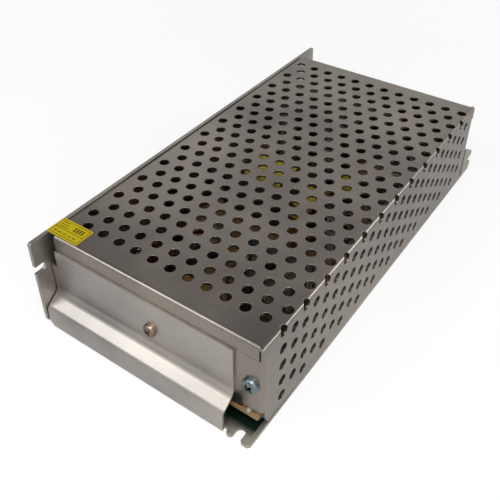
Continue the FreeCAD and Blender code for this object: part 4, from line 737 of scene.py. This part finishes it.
class POWER_OT_label(bpy.types.Operator):
    """Lay the sealing label, with its plain border and bars"""
    bl_idname = "power.label"
    bl_label = "Sealing Label"

    def execute(self, context):
        s = context.scene.power_label
        low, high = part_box("sealing_label")
        low.y += s.setback
        r = Recipe("yellow label film")
        x, y = r.axes()[:2]

        def block(x0, x1, y0, y1):
            return r.math("MULTIPLY", r.band(x, x0, x1), r.band(y, y0, y1))

        left, right = low.x + s.margin, high.x - s.margin
        near, far = low.y + s.margin, high.y - s.margin
        rule = near + 0.42 * (far - near)
        outer = block(left, right, near, far)
        inner = block(left + s.line, right - s.line, near + s.line, far - s.line)
        ink = r.math("SUBTRACT", outer, inner)
        marks = [block(left, right, rule, rule + s.line)]
        wide = right - left
        for upright in range(4):
            start = left + wide * (0.56 + 0.09 * upright)
            marks.append(block(start, start + 0.055 * wide, rule + 1.0 * MM, far - 1.0 * MM))
        for line in range(3):
            at = rule + (0.9 + 1.2 * line) * MM
            marks.append(block(left + 0.08 * wide, left + (0.40 - 0.05 * line) * wide, at, at + 0.35 * MM))
        for dash in range(5):
            start = left + wide * (0.08 + 0.17 * dash)
            marks.append(block(start, start + 0.11 * wide, near + 1.2 * MM, near + 1.7 * MM))
        for mark in marks:
            ink = r.math("MAXIMUM", ink, mark)
        cloud = r.noise(300.0)
        film = r.blend(cloud, shade(s.film_colour, 0.90), shade(s.film_colour, 1.08))
        r.colour(r.blend(ink, film, s.print_colour))
        r.rough(r.remap(cloud, 0.3, 0.7, 0.34, 0.50))
        r.bump(r.noise(140.0), 0.03 * MM)
        r.finish(Specular_IOR_Level=0.15)

        def build(bm):
            bmesh.ops.create_cube(bm, size=1.0)
            bmesh.ops.scale(bm, vec=high - low, verts=bm.verts)
            bmesh.ops.translate(bm, vec=(low + high) / 2, verts=bm.verts)
            corners = [edge for edge in bm.edges if edge.verts[0].co.xy == edge.verts[1].co.xy]
            bmesh.ops.bevel(bm, geom=corners, offset=s.corner, segments=3, affect="EDGES", profile=0.5,
                            material=-1)

        shown("sealing_label_film", build, [r.material], CASE, replaced="sealing_label")
        return {"FINISHED"}


class POWER_OT_board(bpy.types.Operator):
    """Finish the circuit board, the indicator lamp and the voltage adjuster"""
    bl_idname = "power.board"
    bl_label = "Circuit Board"

    def execute(self, context):
        s = context.scene.power_circuit
        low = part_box("circuit_board")[0]
        r = Recipe("board laminate")
        height = r.axes()[2]
        cloud = r.noise(220.0, detail=5.0)
        tan = r.blend(cloud, shade(s.laminate_colour, 0.80), shade(s.laminate_colour, 1.15))
        ink = r.math("MULTIPLY", r.band(r.noise(70.0, detail=0.0), 0.495, 0.503), 0.55)
        top = r.blend(ink, tan, (0.55, 0.52, 0.45))
        track = r.noise(55.0, detail=0.0, stretch=(1.0, 0.5, 1.0))
        mask = r.blend(r.remap(track, 0.49, 0.51, 0.0, 1.0), s.mask_colour, shade(s.mask_colour, 1.9))
        copper_side = 0.12 * MM
        under = r.math("LESS_THAN", height, low.z + copper_side)
        r.colour(r.blend(under, top, mask))
        r.rough(r.remap(cloud, 0.3, 0.7, 0.30, 0.42))
        r.bump(r.noise(1500.0), 0.008 * MM)
        dress(r.material, "circuit_board")
        lamp = Recipe("lamp epoxy").finish(Base_Color=(0.44, 0.45, 0.42), Roughness=0.16,
                                           Transmission_Weight=0.45, IOR=1.52)
        lamp.bump(lamp.noise(900.0), 0.01 * MM)
        dress(lamp.material, "indicator_lamp")
        dress(moulded("adjuster case", (0.014, 0.05, 0.20), 0.35), "adjuster_body")
        dress(moulded("adjuster rotor", (0.62, 0.60, 0.55), 0.35, rim=0.08 * MM), "adjuster_rotor")
        return {"FINISHED"}


class POWER_OT_terminals(bpy.types.Operator):
    """Finish the terminal strip and its plates"""
    bl_idname = "power.terminals"
    bl_label = "Terminals"

    def execute(self, context):
        s = context.scene.power_circuit
        dress(moulded("terminal moulding", s.moulding_colour, 0.34), "terminal_block")
        dress(plated("tinned brass", (0.55, 0.48, 0.34), 0.28, rim=0.12 * MM), "terminal_plates")
        return {"FINISHED"}


class POWER_OT_windings(bpy.types.Operator):
    """Wind the coils and finish the transformers"""
    bl_idname = "power.windings"
    bl_label = "Windings"

    def execute(self, context):
        s = context.scene.power_circuit
        copper = plated("enamelled copper", s.copper_colour, 0.26)
        winding_piece("choke_windings", "choke_core", "Z", 6.0 / 11.0, copper,
                      [(25.0, 130.0, s.choke_turns), (205.0, 130.0, s.choke_turns)])
        winding_piece("inductor_winding", "inductor_core", "X", 0.56, copper, [(210.0, 300.0, s.coil_turns)])
        tape = Recipe("film tape")
        layer = tape.noise(700.0, detail=2.0, stretch=(0.02, 0.02, 1.0))
        crease = tape.noise(260.0, detail=3.0)
        tape.colour(tape.blend(layer, shade(s.tape_colour, 0.78), shade(s.tape_colour, 1.12)))
        tape.rough(tape.remap(layer, 0.3, 0.7, 0.16, 0.32))
        tape.bump(crease, 0.10 * MM, under=tape.bump(layer, 0.05 * MM, under=tape.soft_edges(0.2 * MM)))
        dress(tape.material, "main_transformer_winding", "drive_transformer_winding")
        dress(moulded("ferrite", (0.024, 0.024, 0.026), 0.55, rim=0.25 * MM),
              "choke_core", "main_transformer_core", "drive_transformer_core")
        dress(moulded("yellow core paint", (0.44, 0.31, 0.03), 0.42, rim=0.4 * MM), "inductor_core")
        dress(moulded("bobbin moulding", s.moulding_colour, 0.34),
              "choke_base", "main_transformer_bobbin", "drive_transformer_bobbin")
        return {"FINISHED"}


class POWER_OT_components(bpy.types.Operator):
    """Finish the heatsinks, capacitors, semiconductors and small parts"""
    bl_idname = "power.components"
    bl_label = "Components"

    def execute(self, context):
        sheet = context.scene.power_sheet
        s = context.scene.power_circuit
        bare = sheet_metal("mill finish aluminium", (0.27, 0.26, 0.25), 0.40, sheet.rim, sheet.grain,
                           ROLLED_ACROSS)
        dress(bare, "primary_heatsink", "secondary_heatsink")
        dress(moulded("package moulding", (0.012, 0.012, 0.012), 0.42),
              "bridge_rectifier", "power_transistors", "output_rectifiers", "control_chip")
        top = scored("scored aluminium top", (0.17, 0.17, 0.17))
        black = sleeved("black sleeve", (0.010, 0.010, 0.013), (0.30, 0.30, 0.30))
        can_piece("input_capacitors", black, top, s.segments)
        can_piece("small_capacitors", black, top, 28)
        brown = sleeved("brown sleeve", (0.034, 0.014, 0.008), (0.15, 0.12, 0.06))
        can_piece("output_capacitors", brown, top, s.segments)
        blue = sleeved("blue sleeve", (0.007, 0.016, 0.050), (0.34, 0.36, 0.40))
        can_piece("blue_capacitor", blue, top, s.segments)
        wire = plated("tinned wire", (0.52, 0.51, 0.49), 0.25)
        coat = moulded("blue dipped coat", (0.009, 0.028, 0.075), 0.30, rim=0.0)
        disc_piece("disc_capacitors", coat, wire, s.segments, 9.0 * MM)
        dress(moulded("dark dipped coat", (0.010, 0.018, 0.012), 0.45, rim=0.5 * MM), "inrush_thermistor")
        dress(moulded("ochre box", (0.27, 0.14, 0.045), 0.34, rim=0.3 * MM), "filter_capacitor")
        rings = [(0.16, (0.20, 0.07, 0.02)), (0.33, (0.01, 0.01, 0.01)), (0.48, (0.45, 0.10, 0.02)),
                 (0.76, (0.40, 0.30, 0.08))]
        resistor_piece("resistors", banded("resistor lacquer", (0.34, 0.24, 0.13), rings), wire)
        dress(moulded("fuse ceramic", (0.62, 0.59, 0.52), 0.35), "fuse_tube")
        dress(plated("fuse cap plating", (0.50, 0.48, 0.44), 0.22, rim=0.15 * MM), "fuse_caps", "fuse_clips")
        return {"FINISHED"}


# Each light's name, place, aim, size and watts.
LIGHTS = (
    ("key", (-0.385, -0.46, 0.53), (0.0, -0.09, 0.01), (0.34, 0.30), 1.15),
    ("fill", (0.75, -0.55, 0.45), (0.0, 0.0, 0.02), (0.6, 0.6), 1.6),
    ("lamp", (0.18, -0.36, 0.80), (0.0, -0.02, 0.0), (0.5, 0.5), 5.0),
    ("overhead", (-0.60, 0.55, 0.58), (-0.02, -0.01, 0.04), (0.26, 0.24), 0.15),
    ("rim", (0.74, 0.60, 0.345), (0.045, -0.03, 0.04), (0.46, 0.12), 1.7),
)


def area_light(name, place, aim, size, power):
    light = bpy.data.lights.new(name, "AREA")
    light.shape = "RECTANGLE"
    light.size, light.size_y = size
    light.energy = power
    lamp = bpy.data.objects.new(name, light)
    lamp.location = place
    lamp.rotation_euler = (Vector(aim) - Vector(place)).to_track_quat("-Z", "Y").to_euler()
    bpy.context.scene.collection.objects.link(lamp)


def pale_floor(colour):
    """Pale under the lights, white to the camera further out, and faintly lit in mirrors and clear parts."""
    near, far, near_share, mirror_share, seen_paler = 0.18, 0.50, 0.70, 0.10, 1.64
    r = Recipe("pale floor").finish(Roughness=0.9)
    glow = r.add("ShaderNodeEmission")
    glow.inputs["Color"].default_value = (1.0, 1.0, 1.0, 1.0)
    path = r.add("ShaderNodeLightPath")
    r.colour(r.blend(path.outputs["Is Camera Ray"], colour, shade(colour, seen_paler)))
    mirrored = r.math("MAXIMUM", path.outputs["Is Glossy Ray"], path.outputs["Is Transmission Ray"])
    reach = r.add("ShaderNodeVectorMath", operation="LENGTH")
    r.join(r.place, reach.inputs[0])
    white = r.remap(reach.outputs["Value"], near, far, near_share, 1.0)
    seen = r.math("MAXIMUM", r.math("MULTIPLY", path.outputs["Is Camera Ray"], white),
                  r.math("MULTIPLY", mirrored, mirror_share))
    mix = r.add("ShaderNodeMixShader")
    r.join(seen, mix.inputs["Fac"])
    r.join(r.shader.outputs["BSDF"], mix.inputs[1])
    r.join(glow.outputs["Emission"], mix.inputs[2])
    r.join(mix.outputs["Shader"], r.tree.nodes["Material Output"].inputs["Surface"])
    return r.material


def soft_world():
    """White to the camera, and to all else a dim room with a paler back, front and right side."""
    world = bpy.data.worlds.new("soft studio")
    world.use_nodes = True
    room = NodeTree(world.node_tree, "Generated")
    x, y = room.axes()[:2]
    back = room.remap(y, 0.46, 0.92, 0.16, 0.74, interpolation_type="SMOOTHSTEP")
    front = room.remap(y, -0.30, -0.85, 0.0, 0.42, interpolation_type="SMOOTHSTEP")
    side = room.remap(x, 0.35, 0.80, 0.0, 0.28, interpolation_type="SMOOTHSTEP")
    pick = room.add("ShaderNodeMix")
    pick.inputs[3].default_value = 1.0
    room.join(room.add("ShaderNodeLightPath").outputs["Is Camera Ray"], pick.inputs["Factor"])
    room.join(room.math("ADD", room.math("ADD", back, front), side), pick.inputs[2])
    shader = room.tree.nodes["Background"]
    shader.inputs["Color"].default_value = (1.0, 1.0, 1.0, 1.0)
    room.join(pick.outputs[0], shader.inputs["Strength"])
    return world


class POWER_OT_stage(bpy.types.Operator):
    """Lay the pale floor, hang the soft lights and set the camera"""
    bl_idname = "power.stage"
    bl_label = "Studio"

    def execute(self, context):
        s = context.scene.power_stage
        scene = context.scene
        scene.view_settings.view_transform = "Standard"
        bm = bmesh.new()
        bmesh.ops.create_grid(bm, x_segments=1, y_segments=1, size=4.0)
        mesh = bpy.data.meshes.new("floor")
        bm.to_mesh(mesh)
        bm.free()
        floor = bpy.data.objects.new("floor", mesh)
        scene.collection.objects.link(floor)
        mesh.materials.append(pale_floor(s.floor_colour))
        scene.world = soft_world()
        for light in LIGHTS:
            area_light(*light)

        data = bpy.data.cameras.new("camera")
        data.lens = s.lens
        data.sensor_width = 36.0
        data.shift_y = s.shift
        data.clip_start, data.clip_end = 0.01, 20.0
        camera = bpy.data.objects.new("camera", data)
        camera.location = s.camera_place
        camera.rotation_euler = (math.pi / 2 - s.camera_dip, 0.0, s.camera_turn)
        scene.collection.objects.link(camera)
        scene.camera = camera
        return {"FINISHED"}


class POWER_PT_panel(bpy.types.Panel):
    """Buttons for each group of parts and for the studio"""
    bl_idname = "POWER_PT_panel"
    bl_label = "Power Supply"
    bl_space_type = "VIEW_3D"
    bl_region_type = "UI"
    bl_category = "Power Supply"

    def draw(self, context):
        for operator in OPERATORS:
            self.layout.operator(operator.bl_idname)
        for group, kind in GROUPS.items():
            for name in kind.__annotations__:
                self.layout.prop(getattr(context.scene, group), name)


OPERATORS = (POWER_OT_sheet_metal, POWER_OT_screws, POWER_OT_label, POWER_OT_board, POWER_OT_terminals,
             POWER_OT_windings, POWER_OT_components, POWER_OT_stage)
GROUPS = {"power_sheet": SheetSettings, "power_screw": ScrewSettings, "power_label": LabelSettings,
          "power_circuit": CircuitSettings, "power_stage": StageSettings}


def register():
    for kind in (*GROUPS.values(), *OPERATORS, POWER_PT_panel):
        bpy.utils.register_class(kind)
    for name, kind in GROUPS.items():
        setattr(bpy.types.Scene, name, bpy.props.PointerProperty(type=kind))


def unregister():
    for name in GROUPS:
        delattr(bpy.types.Scene, name)
    for kind in (POWER_PT_panel, *reversed(OPERATORS), *reversed(GROUPS.values())):
        bpy.utils.unregister_class(kind)


def main():
    register()
    for operator in OPERATORS:
        group, name = operator.bl_idname.split(".")
        getattr(getattr(bpy.ops, group), name)()


if __name__ == "__main__":
    main()
